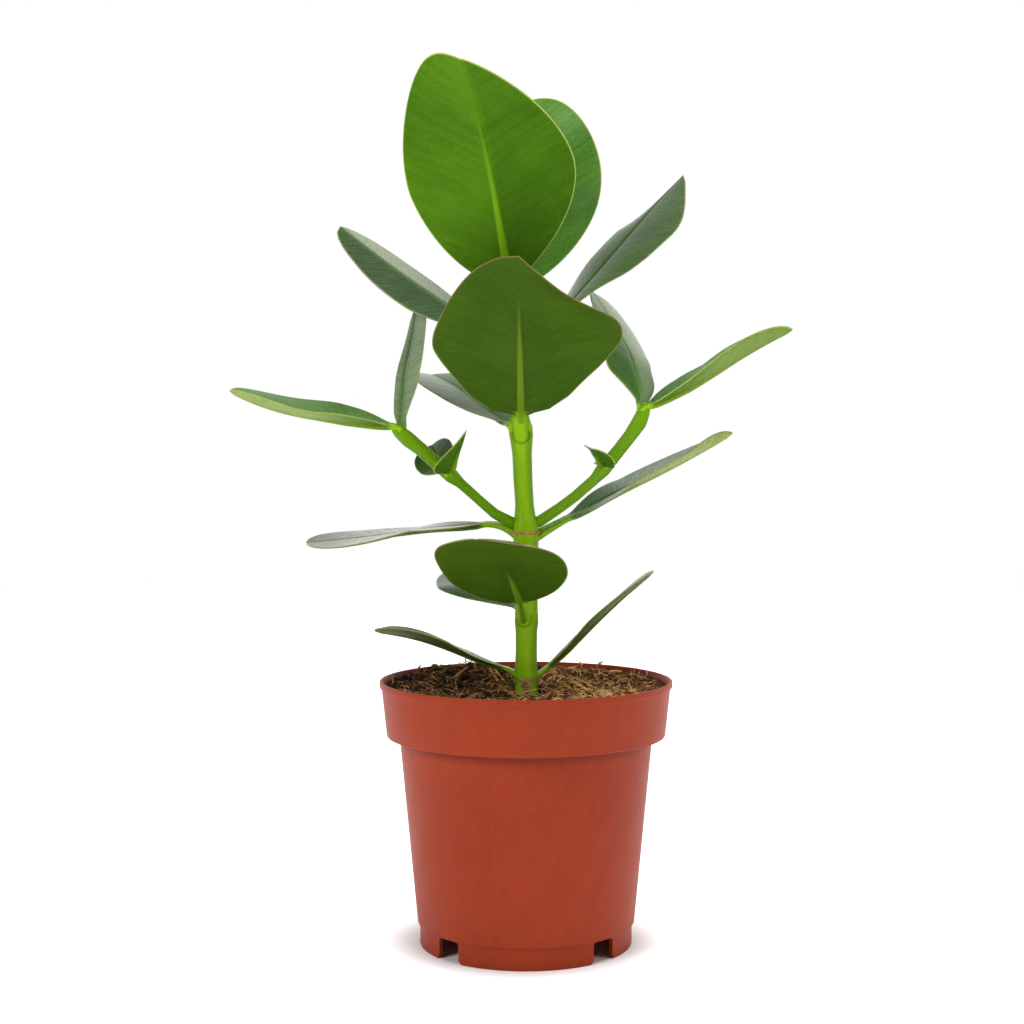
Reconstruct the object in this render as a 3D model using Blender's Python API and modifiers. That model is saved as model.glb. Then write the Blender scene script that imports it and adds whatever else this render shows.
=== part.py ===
# Potted clusia: a young plant in a nursery pot filled with soil.
# One main stem carries two side branches and twenty thick leaves that stand in crossed pairs.
# Heights, positions and sizes are in millimetres from the pot's axis and foot, and MM makes them metres.

import math
import random

import bmesh
import bpy
import numpy as np
from mathutils import Vector, noise

MM = 0.001
CLEARANCE = 0.3

# The origin is the middle of the whole plant's footprint, and the pot's axis stands beside it.
POT_AXIS_X = 4.8
POT_AXIS_Y = 0.9

# Pot
POT_HEIGHT = 108.2
POT_WALL = 1.2
POT_SIDES = 48
LIP_RADIUS = 60.0
LIP_DEPTH = 2.4
COLLAR_TOP_RADIUS = 59.2
COLLAR_FOOT_RADIUS = 57.1
COLLAR_FOOT_HEIGHT = 85.7
BODY_TOP_RADIUS = 51.9
BODY_FOOT_RADIUS = 44.6
FOOT_HEIGHT = 9.0
FOOT_RADIUS = 43.6
FOOT_THICKNESS = 1.8
FLOOR_HEIGHT = 8.6
FLOOR_THICKNESS = 1.6
NOTCH_COUNT = 4
NOTCH_WIDTH = 11.0
NOTCH_FLARE = 1.5
DRAIN_HOLES = 8
DRAIN_CIRCLE = 28.0
DRAIN_RADIUS = 4.0

# Soil: rises from the stem to the wall, is heaped at the back left, and is bumpy all over
SOIL_LEVEL = 101.5
RIM_LEVEL = 105.0
SOIL_SIDES = 48
SOIL_RINGS = (5.6, 11, 18, 26, 34, 42, 49, 54)
SOIL_DROP = 1.5
HEAP_HEIGHT = 3.6
HEAP_X = -32
HEAP_Y = 30
HEAP_SPREAD = 25
BUMP_HEIGHT = 2.2
BROAD_BUMPS = 11
SMALL_BUMPS = 5
CLOD_COUNT = 30
CLOD_SIZE = (1.8, 4.2)
CLOD_REACH = 56
STRAW_COUNT = 26
STRAW_LENGTH = (6, 11)
STRAW_RADIUS = (0.5, 0.9)
STRAW_REACH = 44
SCATTER_START = 9

# Stem and branches: x, height and radius of each station, from the root end to the tip
STEM_ROUNDNESS = 4
MAIN_STEM = (
    (0.0, 80.0, 4.4),
    (0.0, 103.0, 4.4),
    (0.0, 106.7, 4.5),
    (0.0, 109.6, 5.0),
    (0.0, 112.4, 4.6),
    (0.1, 120.0, 4.4),
    (0.2, 128.5, 4.5),
    (0.2, 131.8, 5.0),
    (0.2, 135.5, 4.7),
    (0.2, 148.0, 4.6),
    (0.1, 162.0, 5.0),
    (0.0, 167.0, 5.3),
    (-0.2, 171.3, 5.3),
    (-0.4, 174.6, 4.5),
    (-0.6, 179.9, 3.8),
    (-1.2, 190.0, 3.9),
    (-1.6, 200.4, 4.0),
    (-1.8, 205.3, 4.5),
    (-2.0, 209.0, 5.0),
    (-2.4, 212.5, 4.7),
    (-2.9, 217.9, 3.6),
    (-3.5, 230.0, 3.5),
    (-4.1, 241.5, 3.7),
    (-4.3, 245.0, 4.3),
    (-4.5, 249.0, 3.2),
    (-4.8, 255.5, 2.9),
    (-4.9, 258.5, 1.4),
)
LEFT_BRANCH = (
    (-1.5, 171.5, 2.3),
    (-5.3, 172.4, 2.3),
    (-12.7, 176.3, 2.1),
    (-18.8, 181.6, 1.95),
    (-27.0, 189.0, 2.1),
    (-30.5, 191.9, 3.1),
    (-33.5, 194.3, 2.8),
    (-43.3, 202.9, 2.8),
    (-48.5, 207.0, 3.2),
    (-52.5, 210.5, 2.6),
    (-54.4, 212.8, 1.2),
)
RIGHT_BRANCH = (
    (1.5, 172.0, 2.3),
    (5.3, 173.0, 2.3),
    (13.9, 178.8, 2.15),
    (20.0, 183.3, 2.15),
    (28.2, 190.6, 2.2),
    (31.4, 194.3, 3.1),
    (34.4, 198.0, 2.8),
    (38.4, 202.9, 2.7),
    (42.9, 208.7, 2.8),
    (46.2, 213.6, 3.2),
    (48.2, 218.5, 2.7),
    (48.8, 221.8, 1.2),
)

# Axillary buds: x and height on the stem, side they stand on, radius
BUDS = (
    (0.2, 134.5, 1, 1.7),
    (0.2, 134.5, -1, 1.7),
    (-2.2, 211.0, 1, 1.9),
    (-2.2, 211.0, -1, 1.9),
)

# Nodes of the stem and branches: x and height where a pair of leaves grows
NODE_A = (0.0, 107.0)
NODE_B = (0.2, 131.5)
NODE_C = (0.0, 165.5)
NODE_D = (-1.9, 207.0)
NODE_E = (-4.2, 243.5)
NODE_F = (-4.8, 256.5)
NODE_LEFT = (-30.5, 191.9)
TIP_LEFT = (-51.5, 209.5)
NODE_RIGHT = (31.4, 194.3)
TIP_RIGHT = (47.2, 217.5)

# Leaves
BLADE_THICKNESS = 1.0
RIB_THICKNESS = 2.8
LEAF_ROWS = 12
LEAF_COLUMNS = (-1, -0.55, -0.08, 0, 0.08, 0.55, 1)
MIDRIB_STEPS = 160
ROOTED_SHARE = 0.3
FORM = (0.58, 1.0, 2.2, 0.5)

# What a leaf is unless it says otherwise:
#   base      how far out from the stem's axis its petiole starts
#   heading   compass direction at the foot and at the tip, 0 right, 90 back, 180 left, 270 front
#   rise      slope of the midrib at the foot, where the blade starts, halfway and at the tip
#   roll      twist about the midrib at the foot, halfway and at the tip
#   halves    widths of the left and right halves, seen from the petiole on the upper side
#   left, right   form of each half: place of the widest point, fullness of base, of tip, and bluntness,
#                 or a row of places along the blade and a row with the share of the width at each
#   fold      how far the halves are folded up at the foot, halfway and at the tip
#   cup       extra fold towards the margins
#   curl      how far each half's margin is rolled up at the tip, or under where negative
#   curl_from   where along the blade the rolling starts
#   petiole   its share of the length, and its half widths at the foot and where the blade starts
#   lean      how far each half is swept towards the tip
USUAL = {
    "base": 2.5,
    "roll": (0, 0, 0),
    "left": FORM,
    "right": FORM,
    "fold": (8, 8, 8),
    "cup": 0,
    "curl": (0, 0),
    "curl_from": 0.8,
    "petiole": (0.12, 2.8, 1.7),
    "lean": (0, 0),
}
LEAVES = {
    "leaf_a_left": {
        "node": NODE_A, "heading": (172, 166), "rise": (60, 22, 18, 2), "roll": (2, -11, 0),
        "length": 66, "halves": (13, 11), "fold": (2, 9, 19),
    },
    "leaf_a_right": {
        "node": NODE_A, "heading": (10, -10), "rise": (34, 46, 44, 38), "roll": (-3, 7, -5),
        "length": 68, "halves": (9.5, 13), "fold": (18, 7, 6),
    },
    "leaf_b_front": {
        "node": NODE_B, "heading": (256, 244), "rise": (60, 47, 34, 11), "roll": (-6, -5, 0),
        "length": 68, "halves": (30, 25), "left": (0.57, 0.65, 2.1, 0.65), "right": (0.53, 0.5, 3.0, 0.6),
        "fold": (8, 2, 10), "cup": -30, "petiole": (0.15, 3.4, 1.7), "lean": (0.4, 0.1),
    },
    "leaf_b_back": {
        "node": NODE_B, "heading": (114, 121), "rise": (58, 29, 14, 14), "roll": (-5, 0, 0),
        "length": 58, "halves": (28, 26), "left": (0.43, 0.95, 1.2, 0.4), "right": (0.42, 1.3, 2.0, 0.5),
        "fold": (0, 7, 0), "cup": -12, "lean": (0, 0.3),
    },
    "leaf_c_left": {
        "node": NODE_C, "heading": (168, 186), "rise": (48, -1, -9, -4), "roll": (17, 0, 11),
        "length": 91, "halves": (22, 18), "left": (0.6, 1.0, 2.4, 0.5), "right": (0.6, 1.0, 2.4, 0.5),
        "fold": (8, 1, 2), "petiole": (0.18, 2.6, 2.0),
    },
    "leaf_c_right": {
        "node": NODE_C, "heading": (20, 4), "rise": (28, 29, 24, 30), "roll": (-36, 2, 2),
        "length": 97, "halves": (18, 18), "fold": (8, 10, 10), "petiole": (0.18, 2.6, 2.0),
        "curl": (0, 55), "curl_from": 0.7,
    },
    "leaf_d_front": {
        "node": NODE_D, "heading": (268, 270), "rise": (84, 63, 61, 37), "roll": (-4, -2, 30),
        "length": 83.5, "halves": (40.8, 35.2),
        "left": (
            (0, 0.11, 0.29, 0.45, 0.63, 0.76, 0.85, 0.96, 1),
            (0.05, 0.48, 0.78, 0.99, 0.99, 0.94, 0.54, 0.26, 0),
        ),
        "right": (
            (0, 0.12, 0.23, 0.34, 0.42, 0.59, 0.78, 0.93, 1),
            (0.05, 0.58, 0.75, 0.91, 1, 0.89, 0.65, 0.33, 0),
        ),
        "fold": (6, 7, -3), "cup": -16, "petiole": (0.12, 3.4, 1.7),
    },
    "leaf_d_back": {
        "node": NODE_D, "heading": (131, 126), "rise": (60, 27, 25, 13), "roll": (11, 4, 0),
        "length": 68, "halves": (22, 24), "fold": (5, 10, 8),
    },
    "leaf_e_left": {
        "node": NODE_E, "heading": (160, 166), "rise": (63, 28, 34, 39), "roll": (14, 19, 19),
        "length": 92, "halves": (18.6, 16),
        "left": (
            (0, 0.12, 0.22, 0.35, 0.48, 0.69, 0.87, 0.94, 1),
            (0.05, 0.62, 0.85, 1, 1, 0.88, 0.59, 0.36, 0),
        ),
        "fold": (-5, -8, -8),
    },
    "leaf_e_right": {
        "node": NODE_E, "heading": (11, 12), "rise": (30, 47, 49, 47), "roll": (0, -18, -16),
        "length": 100, "halves": (16, 27.4),
        "left": (
            (0, 0.1, 0.24, 0.36, 0.57, 0.75, 0.93, 1),
            (0.05, 0.45, 0.82, 1, 0.95, 0.8, 0.4, 0),
        ),
        "right": (
            (0, 0.2, 0.29, 0.39, 0.52, 0.69, 0.77, 0.93, 1),
            (0.05, 0.24, 0.37, 0.63, 0.86, 1, 0.92, 0.34, 0),
        ),
        "fold": (6, 4, 3), "cup": -15, "curl": (-130, 0), "curl_from": 0.62,
    },
    "leaf_f_front": {
        "node": NODE_F, "base": 1.8, "heading": (255, 247), "rise": (90, 57, 61, 44), "roll": (-8, -12, 16),
        "length": 111, "halves": (33.5, 35), "left": (0.52, 0.8, 1.75, 0.65), "right": (0.55, 0.5, 1.8, 0.4),
        "fold": (10, 7, 14), "cup": -8, "lean": (-0.08, 0.15),
    },
    "leaf_f_back": {
        "node": NODE_F, "base": 1.8, "heading": (86, 68), "rise": (87, 78, 85, 62), "roll": (-12, -15, 7),
        "length": 94, "halves": (37, 35), "left": (0.56, 0.95, 1.95, 0.4), "right": (0.58, 0.7, 2.0, 0.5),
        "fold": (6, 9, 18), "cup": -10, "lean": (0.15, 0),
    },
    "leaf_left_small_front": {
        "node": NODE_LEFT, "heading": (265, 335), "rise": (15, 36, 57, 61), "roll": (-55, -45, -18),
        "length": 25, "halves": (7, 11), "left": (0.35, 0.8, 1.0, 0.9), "right": (0.35, 0.8, 1.0, 0.9),
        "fold": (21, 30, 8), "cup": -15, "petiole": (0.15, 2.0, 1.6), "base": 1.5,
    },
    "leaf_left_small_back": {
        "node": NODE_LEFT, "heading": (114, 105), "rise": (46, 8, 38, 21), "roll": (20, 44, 34),
        "length": 29, "halves": (10.5, 8), "fold": (0, 5, 12), "petiole": (0.15, 2.0, 1.6), "base": 1.5,
    },
    "leaf_left_out": {
        "node": TIP_LEFT, "heading": (184, 186), "rise": (50, 10, 9, 27), "roll": (13, 11, 2),
        "length": 70.4, "halves": (17.5, 16),
        "left": (0.58, 1.05, 1.7, 0.55), "right": (0.55, 0.8, 3.4, 0.45),
        "fold": (38, 19, 19), "cup": -8, "petiole": (0.04, 2.4, 2.2), "base": 1.0,
    },
    "leaf_left_up": {
        "node": TIP_LEFT, "base": 3.0, "heading": (60, 48), "rise": (86, 102, 70, 80), "roll": (14, 14, 14),
        "length": 55, "halves": (5.5, 10.6),
        "left": (
            (0, 0.1, 0.24, 0.38, 0.54, 0.86, 0.95, 1),
            (0.3, 0.8, 0.93, 1, 0.93, 0.72, 0.4, 0),
        ),
        "right": (
            (0, 0.06, 0.22, 0.34, 0.51, 0.88, 0.96, 1),
            (0.1, 0.2, 0.66, 0.93, 1, 0.79, 0.5, 0),
        ),
        "fold": (4, 0, 2), "petiole": (0.04, 2.4, 2.2),
    },
    "leaf_right_small_front": {
        "node": NODE_RIGHT, "heading": (261, 241), "rise": (53, 37, 35, 13), "roll": (26, 36, 13),
        "length": 17, "halves": (9.5, 6.5), "left": (0.56, 0.6, 2.0, 0.5), "fold": (9, 12, 11), "cup": -20,
        "petiole": (0.15, 2.4, 2.0), "base": 1.5,
    },
    "leaf_right_small_back": {
        "node": NODE_RIGHT, "heading": (75, 95), "rise": (40, 15, 5, 0),
        "length": 12, "halves": (5, 5), "fold": (9, 12, 11), "petiole": (0.2, 2.0, 1.6), "base": 1.5,
    },
    "leaf_right_in": {
        "node": TIP_RIGHT, "heading": (111, 158), "rise": (85, 84, 54, 53), "roll": (-8, -16, -7),
        "length": 59, "halves": (20, 23.6),
        "left": (
            (0, 0.065, 0.17, 0.26, 0.45, 0.7, 0.86, 0.95, 1),
            (0.05, 0.15, 0.48, 0.84, 1, 0.93, 0.72, 0.45, 0),
        ),
        "right": (
            (0, 0.08, 0.15, 0.29, 0.51, 0.69, 0.86, 0.95, 1),
            (0.05, 0.25, 0.39, 0.5, 0.86, 0.96, 0.93, 0.65, 0),
        ),
        "fold": (5, 1, 9), "cup": -9, "petiole": (0.1, 2.2, 1.8), "base": 1.0,
    },
    "leaf_right_out": {
        "node": TIP_RIGHT, "heading": (13, 10), "rise": (46, 26, 32, 24), "roll": (-8, 6, 4),
        "length": 73, "halves": (17, 17.5), "left": (0.6, 0.75, 1.4, 0.45), "right": (0.58, 1.0, 1.9, 0.5),
        "fold": (26, 18, 25), "petiole": (0.1, 2.2, 1.8), "base": 1.0,
    },
}


def clear_scene():
    for thing in list(bpy.data.objects):
        bpy.data.objects.remove(thing, do_unlink=True)


def make_collection(name):
    collection = bpy.data.collections.new(name)
    bpy.context.scene.collection.children.link(collection)
    return collection


def make_material(name, colour, roughness):
    material = bpy.data.materials.new(name)
    material.use_nodes = True
    surface = material.node_tree.nodes["Principled BSDF"]
    surface.inputs["Base Color"].default_value = (*colour, 1)
    surface.inputs["Roughness"].default_value = roughness
    surface.inputs["Metallic"].default_value = 0
    return material


def place(name, mesh, collection):
    part = bpy.data.objects.new(name, mesh)
    collection.objects.link(part)
    return part


def apply_modifiers(part):
    bpy.context.view_layer.update()
    evaluated = part.evaluated_get(bpy.context.evaluated_depsgraph_get())
    solid = bpy.data.meshes.new_from_object(evaluated)
    part.modifiers.clear()
    part.data = solid
    return part


# A closed solid turned about the pot's axis from a profile that runs down its outer side
def turned(name, profile, sides, collection):
    mesh = bpy.data.meshes.new(name)
    points = [(radius * MM, 0, height * MM) for radius, height in profile]
    mesh.from_pydata(points, [(i, i + 1) for i in range(len(points) - 1)], [])
    part = place(name, mesh, collection)
    screw = part.modifiers.new("Turn", "SCREW")
    screw.axis = "Z"
    screw.steps = sides
    screw.render_steps = sides
    screw.use_merge_vertices = True
    screw.merge_threshold = 0.00005
    return apply_modifiers(part)


# A round stem through its stations, widened by the given amount
def tube(name, stations, grown, collection):
    curve = bpy.data.curves.new(name, "CURVE")
    curve.dimensions = "3D"
    curve.bevel_depth = MM
    curve.bevel_resolution = STEM_ROUNDNESS
    curve.use_fill_caps = True
    line = curve.splines.new("POLY")
    line.points.add(len(stations) - 1)
    for point, (x, height, radius) in zip(line.points, stations):
        point.co = (x * MM, 0, height * MM, 1)
        point.radius = radius + grown
    source = bpy.data.objects.new(name, curve)
    collection.objects.link(source)
    bpy.context.view_layer.update()
    evaluated = source.evaluated_get(bpy.context.evaluated_depsgraph_get())
    mesh = bpy.data.meshes.new_from_object(evaluated)
    bpy.data.objects.remove(source)
    weld(mesh)
    return place(name, mesh, collection)


def weld(mesh):
    solid = bmesh.new()
    solid.from_mesh(mesh)
    bmesh.ops.remove_doubles(solid, verts=solid.verts, dist=0.01 * MM)
    solid.to_mesh(mesh)
    solid.free()


def cut(part, cutter):
    boolean = part.modifiers.new(cutter.name, "BOOLEAN")
    boolean.operation = "DIFFERENCE"
    boolean.object = cutter


# Joins every object of a collection into the part and removes them
def fuse(part, growths):
    boolean = part.modifiers.new("Fuse", "BOOLEAN")
    boolean.operation = "UNION"
    boolean.operand_type = "COLLECTION"
    boolean.collection = growths
    apply_modifiers(part)
    for growth in list(growths.objects):
        bpy.data.objects.remove(growth, do_unlink=True)
    bpy.data.collections.remove(growths)


def hide(cutter):
    cutter.hide_render = True
    cutter.display_type = "WIRE"
    return cutter


def between(low, high, share):
    return low + (high - low) * share


# Radius of the pot's inner wall at a height above the shoulder
def collar_inside(height):
    share = (height - COLLAR_FOOT_HEIGHT) / (POT_HEIGHT - LIP_DEPTH - COLLAR_FOOT_HEIGHT)
    return between(COLLAR_FOOT_RADIUS, COLLAR_TOP_RADIUS, min(share, 1)) - POT_WALL


def pot_profile():
    floor_top = FLOOR_HEIGHT + FLOOR_THICKNESS
    shoulder = COLLAR_FOOT_HEIGHT + POT_WALL
    collar_top = POT_HEIGHT - LIP_DEPTH
    rounding = 0.35
    inside = [
        (0, floor_top),
        (DRAIN_CIRCLE, floor_top),
        (BODY_FOOT_RADIUS - POT_WALL, floor_top),
        (BODY_TOP_RADIUS - POT_WALL, shoulder),
        (COLLAR_FOOT_RADIUS - POT_WALL, shoulder),
        (collar_inside(collar_top), collar_top),
        (LIP_RADIUS - POT_WALL - rounding, POT_HEIGHT - rounding),
        (LIP_RADIUS - POT_WALL, POT_HEIGHT),
    ]
    outside = [
        (LIP_RADIUS - rounding, POT_HEIGHT),
        (LIP_RADIUS, POT_HEIGHT - rounding),
        (LIP_RADIUS, collar_top + rounding),
        (COLLAR_TOP_RADIUS, collar_top),
        (COLLAR_FOOT_RADIUS, COLLAR_FOOT_HEIGHT + rounding),
        (COLLAR_FOOT_RADIUS - rounding, COLLAR_FOOT_HEIGHT),
        (BODY_TOP_RADIUS, COLLAR_FOOT_HEIGHT),
        (BODY_FOOT_RADIUS, FOOT_HEIGHT),
        (FOOT_RADIUS, FOOT_HEIGHT),
        (FOOT_RADIUS, 0),
        (FOOT_RADIUS - FOOT_THICKNESS, 0),
        (FOOT_RADIUS - FOOT_THICKNESS, FLOOR_HEIGHT),
        (0, FLOOR_HEIGHT),
    ]
    return inside + outside


# Notch through the foot ring, flared where it meets the ground, pointing to +X before it is turned
def notch_cutter(name, angle, cutters):
    half = NOTCH_WIDTH / 2
    top = FOOT_HEIGHT - CLEARANCE
    outline = [(-half, top), (-half, NOTCH_FLARE)]
    outline += [(-half - NOTCH_FLARE, 0), (-half - NOTCH_FLARE, -1), (half + NOTCH_FLARE, -1)]
    outline += [(half + NOTCH_FLARE, 0), (half, NOTCH_FLARE), (half, top)]
    reach = 6.0
    mesh = bmesh.new()
    inner = [mesh.verts.new(((FOOT_RADIUS - reach) * MM, y * MM, z * MM)) for y, z in outline]
    face = mesh.faces.new(inner)
    pushed = bmesh.ops.extrude_face_region(mesh, geom=[face])
    moved = [item for item in pushed["geom"] if isinstance(item, bmesh.types.BMVert)]
    bmesh.ops.translate(mesh, verts=moved, vec=(2 * reach * MM, 0, 0))
    bmesh.ops.recalc_face_normals(mesh, faces=mesh.faces)
    data = bpy.data.meshes.new(name)
    mesh.to_mesh(data)
    mesh.free()
    cutter = place(name, data, cutters)
    cutter.rotation_euler.z = angle
    return hide(cutter)


def drain_cutter(name, angle, cutters):
    mesh = bmesh.new()
    depth = 4 * FLOOR_THICKNESS * MM
    radius = DRAIN_RADIUS * MM
    bmesh.ops.create_cone(mesh, cap_ends=True, segments=12, radius1=radius, radius2=radius, depth=depth)
    data = bpy.data.meshes.new(name)
    mesh.to_mesh(data)
    mesh.free()
    cutter = place(name, data, cutters)
    middle = FLOOR_HEIGHT + FLOOR_THICKNESS / 2
    cutter.location = (DRAIN_CIRCLE * math.cos(angle) * MM, DRAIN_CIRCLE * math.sin(angle) * MM, middle * MM)
    return hide(cutter)


def make_pot(plant, cutters):
    pot = turned("pot", pot_profile(), POT_SIDES, plant)
    for number in range(NOTCH_COUNT):
        angle = math.tau * (number + 0.5) / NOTCH_COUNT
        cut(pot, notch_cutter(f"notch_{number}", angle, cutters))
    for number in range(DRAIN_HOLES):
        angle = math.tau * number / DRAIN_HOLES
        cut(pot, drain_cutter(f"drain_{number}", angle, cutters))
    return pot


# Height of the soil at a place in plan
def soil_height(x, y):
    heap = math.exp(-((x - HEAP_X) ** 2 + (y - HEAP_Y) ** 2) / HEAP_SPREAD ** 2)
    rise = (RIM_LEVEL - SOIL_LEVEL) * (x * x + y * y) / COLLAR_FOOT_RADIUS ** 2
    broad = noise.noise(Vector((x, y, 7.0)) / BROAD_BUMPS)
    small = noise.noise(Vector((x, y, 3.0)) / SMALL_BUMPS)
    return SOIL_LEVEL + rise + HEAP_HEIGHT * heap + BUMP_HEIGHT * (broad + 0.5 * small)


def soil_profile():
    floor_top = FLOOR_HEIGHT + FLOOR_THICKNESS + CLEARANCE
    shoulder = COLLAR_FOOT_HEIGHT + POT_WALL + CLEARANCE
    skin = POT_WALL + CLEARANCE
    rim = collar_inside(SOIL_LEVEL) - CLEARANCE
    top = [(0, SOIL_LEVEL)] + [(radius, SOIL_LEVEL) for radius in SOIL_RINGS]
    side = [
        (rim, RIM_LEVEL - SOIL_DROP),
        (COLLAR_FOOT_RADIUS - skin, shoulder),
        (BODY_TOP_RADIUS - skin, shoulder),
        (BODY_FOOT_RADIUS - skin, floor_top),
    ]
    return top + side + [(0, floor_top)]


# Point on the soil's faces above or below a place in plan
def on_soil(soil, x, y):
    above = (x * MM, y * MM, 2 * POT_HEIGHT * MM)
    return soil.ray_cast(above, (0, 0, -1))[1]


def clod(chance, size, growths):
    mesh = bmesh.new()
    bmesh.ops.create_icosphere(mesh, subdivisions=1, radius=size * MM)
    for vert in mesh.verts:
        vert.co *= chance.uniform(0.75, 1.2)
        vert.co.z *= 0.8
    data = bpy.data.meshes.new("clod")
    mesh.to_mesh(data)
    mesh.free()
    return place("clod", data, growths)


# A dry straw that lies with both its ends in the soil
def straw(start, end, radius, growths):
    mesh = bmesh.new()
    length = (end - start).length
    bmesh.ops.create_cone(mesh, cap_ends=True, segments=5, radius1=radius, radius2=0.6 * radius, depth=length)
    data = bpy.data.meshes.new("straw")
    mesh.to_mesh(data)
    mesh.free()
    piece = place("straw", data, growths)
    piece.location = (start + end) / 2
    piece.rotation_euler = (end - start).to_track_quat("Z", "Y").to_euler()


def scatter_place(chance, reach):
    angle = chance.uniform(0, math.tau)
    radius = between(SCATTER_START, reach, math.sqrt(chance.random()))
    return radius * math.cos(angle), radius * math.sin(angle)


def make_soil(plant, cutters, stem_hole):
    soil = turned("soil", soil_profile(), SOIL_SIDES, plant)
    for vert in soil.data.vertices:
        x, y, height = vert.co / MM
        if height > SOIL_LEVEL - 0.1 and math.hypot(x, y) < SOIL_RINGS[-1] + 0.1:
            vert.co.z = soil_height(x, y) * MM
    bpy.context.view_layer.update()
    growths = make_collection("growths")
    chance = random.Random(12)
    for _ in range(CLOD_COUNT):
        size = chance.uniform(*CLOD_SIZE)
        x, y = scatter_place(chance, CLOD_REACH - size * 1.3)
        clod(chance, size, growths).location = on_soil(soil, x, y) + Vector((0, 0, 0.2 * size * MM))
    for _ in range(STRAW_COUNT):
        x, y = scatter_place(chance, STRAW_REACH)
        angle = chance.uniform(0, math.tau)
        length = chance.uniform(*STRAW_LENGTH)
        start = on_soil(soil, x, y)
        end = on_soil(soil, x + length * math.cos(angle), y + length * math.sin(angle))
        straw(start, end, chance.uniform(*STRAW_RADIUS) * MM, growths)
    fuse(soil, growths)
    cut(soil, stem_hole)
    return soil


def make_main_stem(plant):
    stem = tube("main_stem", MAIN_STEM, 0, plant)
    growths = make_collection("growths")
    for x, height, side, radius in BUDS:
        mesh = bmesh.new()
        bmesh.ops.create_icosphere(mesh, subdivisions=2, radius=radius * MM)
        bmesh.ops.scale(mesh, verts=mesh.verts, vec=(0.8, 1, 1.6))
        data = bpy.data.meshes.new("bud")
        mesh.to_mesh(data)
        mesh.free()
        place("bud", data, growths).location = ((x + side * 4.4) * MM, 0, height * MM)
    fuse(stem, growths)
    return stem


# Width of one half of a leaf at shares t of its blade
def half_outline(t, width, form):
    if len(form) == 2:
        places, widths = form
        return width * np.interp(t, places, widths)
    widest, base, tip, bluntness = form
    opening = np.sin(np.pi / 2 * np.clip(t / widest, 0, 1)) ** base
    closing = (1 - np.clip((t - widest) / (1 - widest), 0, 1) ** tip) ** bluntness
    return width * np.where(t < widest, opening, closing)


# Midrib points with the across, out and along directions there
def midrib(leaf, shares):
    fine = np.linspace(0, 1, MIDRIB_STEPS + 1)
    heading = np.radians(np.interp(fine, (0, 1), leaf["heading"]))
    rise = np.radians(np.interp(fine, (0, leaf["petiole"][0], 0.55, 1), leaf["rise"]))
    roll = np.radians(np.interp(fine, (0, 0.5, 1), leaf["roll"]))
    along = np.stack([np.cos(rise) * np.cos(heading), np.cos(rise) * np.sin(heading), np.sin(rise)], -1)
    points = np.zeros_like(along)
    points[1:] = np.cumsum((along[1:] + along[:-1]) / 2 * leaf["length"] / MIDRIB_STEPS, 0)
    level = np.stack([np.sin(heading), -np.cos(heading), 0 * heading], -1)
    across = np.cos(roll)[:, None] * level + np.sin(roll)[:, None] * np.cross(level, along)
    out = np.cross(across, along)
    x, height = leaf["node"]
    outward = np.array([np.cos(heading[0]), np.sin(heading[0]), 0])
    foot = np.array([x, 0, height]) + leaf["base"] * outward
    tables = (points + foot, across, out, along)
    return [np.stack([np.interp(shares, fine, table[:, k]) for k in range(3)], -1) for table in tables]


# Grid of points on the leaf's upper side, with the thickness under each
def leaf_grid(leaf):
    steps = np.linspace(0, 1, LEAF_ROWS + 1)
    shares = 0.55 * steps + 0.45 * np.sin(np.pi / 2 * steps)
    points, across, out, along = midrib(leaf, shares)
    stalk, foot_width, neck_width = leaf["petiole"]
    t = np.clip((shares - stalk) / (1 - stalk), 0, 1)
    stalk_width = np.interp(shares, (0, stalk, 1), (foot_width, neck_width, 0.4))
    columns = np.array(LEAF_COLUMNS)
    even = np.linspace(-1, 1, len(columns))
    fold = np.radians(np.interp(shares, (0, 0.5, 1), leaf["fold"]))
    late = np.clip((t - leaf["curl_from"]) / (1 - leaf["curl_from"]), 0, 1) ** 1.4
    rooted = np.clip(1 - shares / ROOTED_SHARE, 0, 1)
    points += out * (rooted * RIB_THICKNESS / 2)[:, None]
    grid = np.zeros((len(shares), len(columns), 3))
    thickness = np.zeros((len(shares), len(columns)))
    rib = np.interp(shares, (0, stalk, 1), (RIB_THICKNESS, RIB_THICKNESS * 0.9, BLADE_THICKNESS))
    for k, v in enumerate(columns):
        side = int(v > 0)
        blade = half_outline(t, leaf["halves"][side], leaf["right" if side else "left"])
        blade[-1] = 0
        reach = np.maximum(blade * abs(v), stalk_width * abs(even[k]) * (shares < 1))
        bend = np.radians(leaf["cup"] + late * leaf["curl"][side]) * abs(v) / 2
        sideways = np.sign(v) * reach * np.cos(fold + bend) * np.sinc(bend / np.pi)
        lift = reach * np.sin(fold + bend) * np.sinc(bend / np.pi)
        swept = leaf["lean"][side] * reach * t
        grid[:, k] = points + sideways[:, None] * across + lift[:, None] * out + swept[:, None] * along
        inside_rib = np.sqrt(np.clip(1 - (reach / (stalk_width + 0.3)) ** 2, 0, 1))
        thickness[:, k] = BLADE_THICKNESS + (rib - BLADE_THICKNESS) * inside_rib
    return grid * MM, thickness


# The leaf's upper side as triangles that meet in one point at the tip
def leaf_mesh(name, grid):
    rows, columns = grid.shape[:2]
    points = [tuple(point) for point in grid[:-1].reshape(-1, 3)]
    points.append(tuple(grid[-1, columns // 2]))
    tip = len(points) - 1
    faces = []
    for row in range(rows - 2):
        for column in range(columns - 1):
            a = row * columns + column
            b = a + columns
            faces += [(a, a + 1, b + 1), (a, b + 1, b)]
    last = (rows - 2) * columns
    faces += [(last + column, last + column + 1, tip) for column in range(columns - 1)]
    mesh = bpy.data.meshes.new(name)
    mesh.from_pydata(points, [], faces)
    mesh.update()
    return mesh


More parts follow.
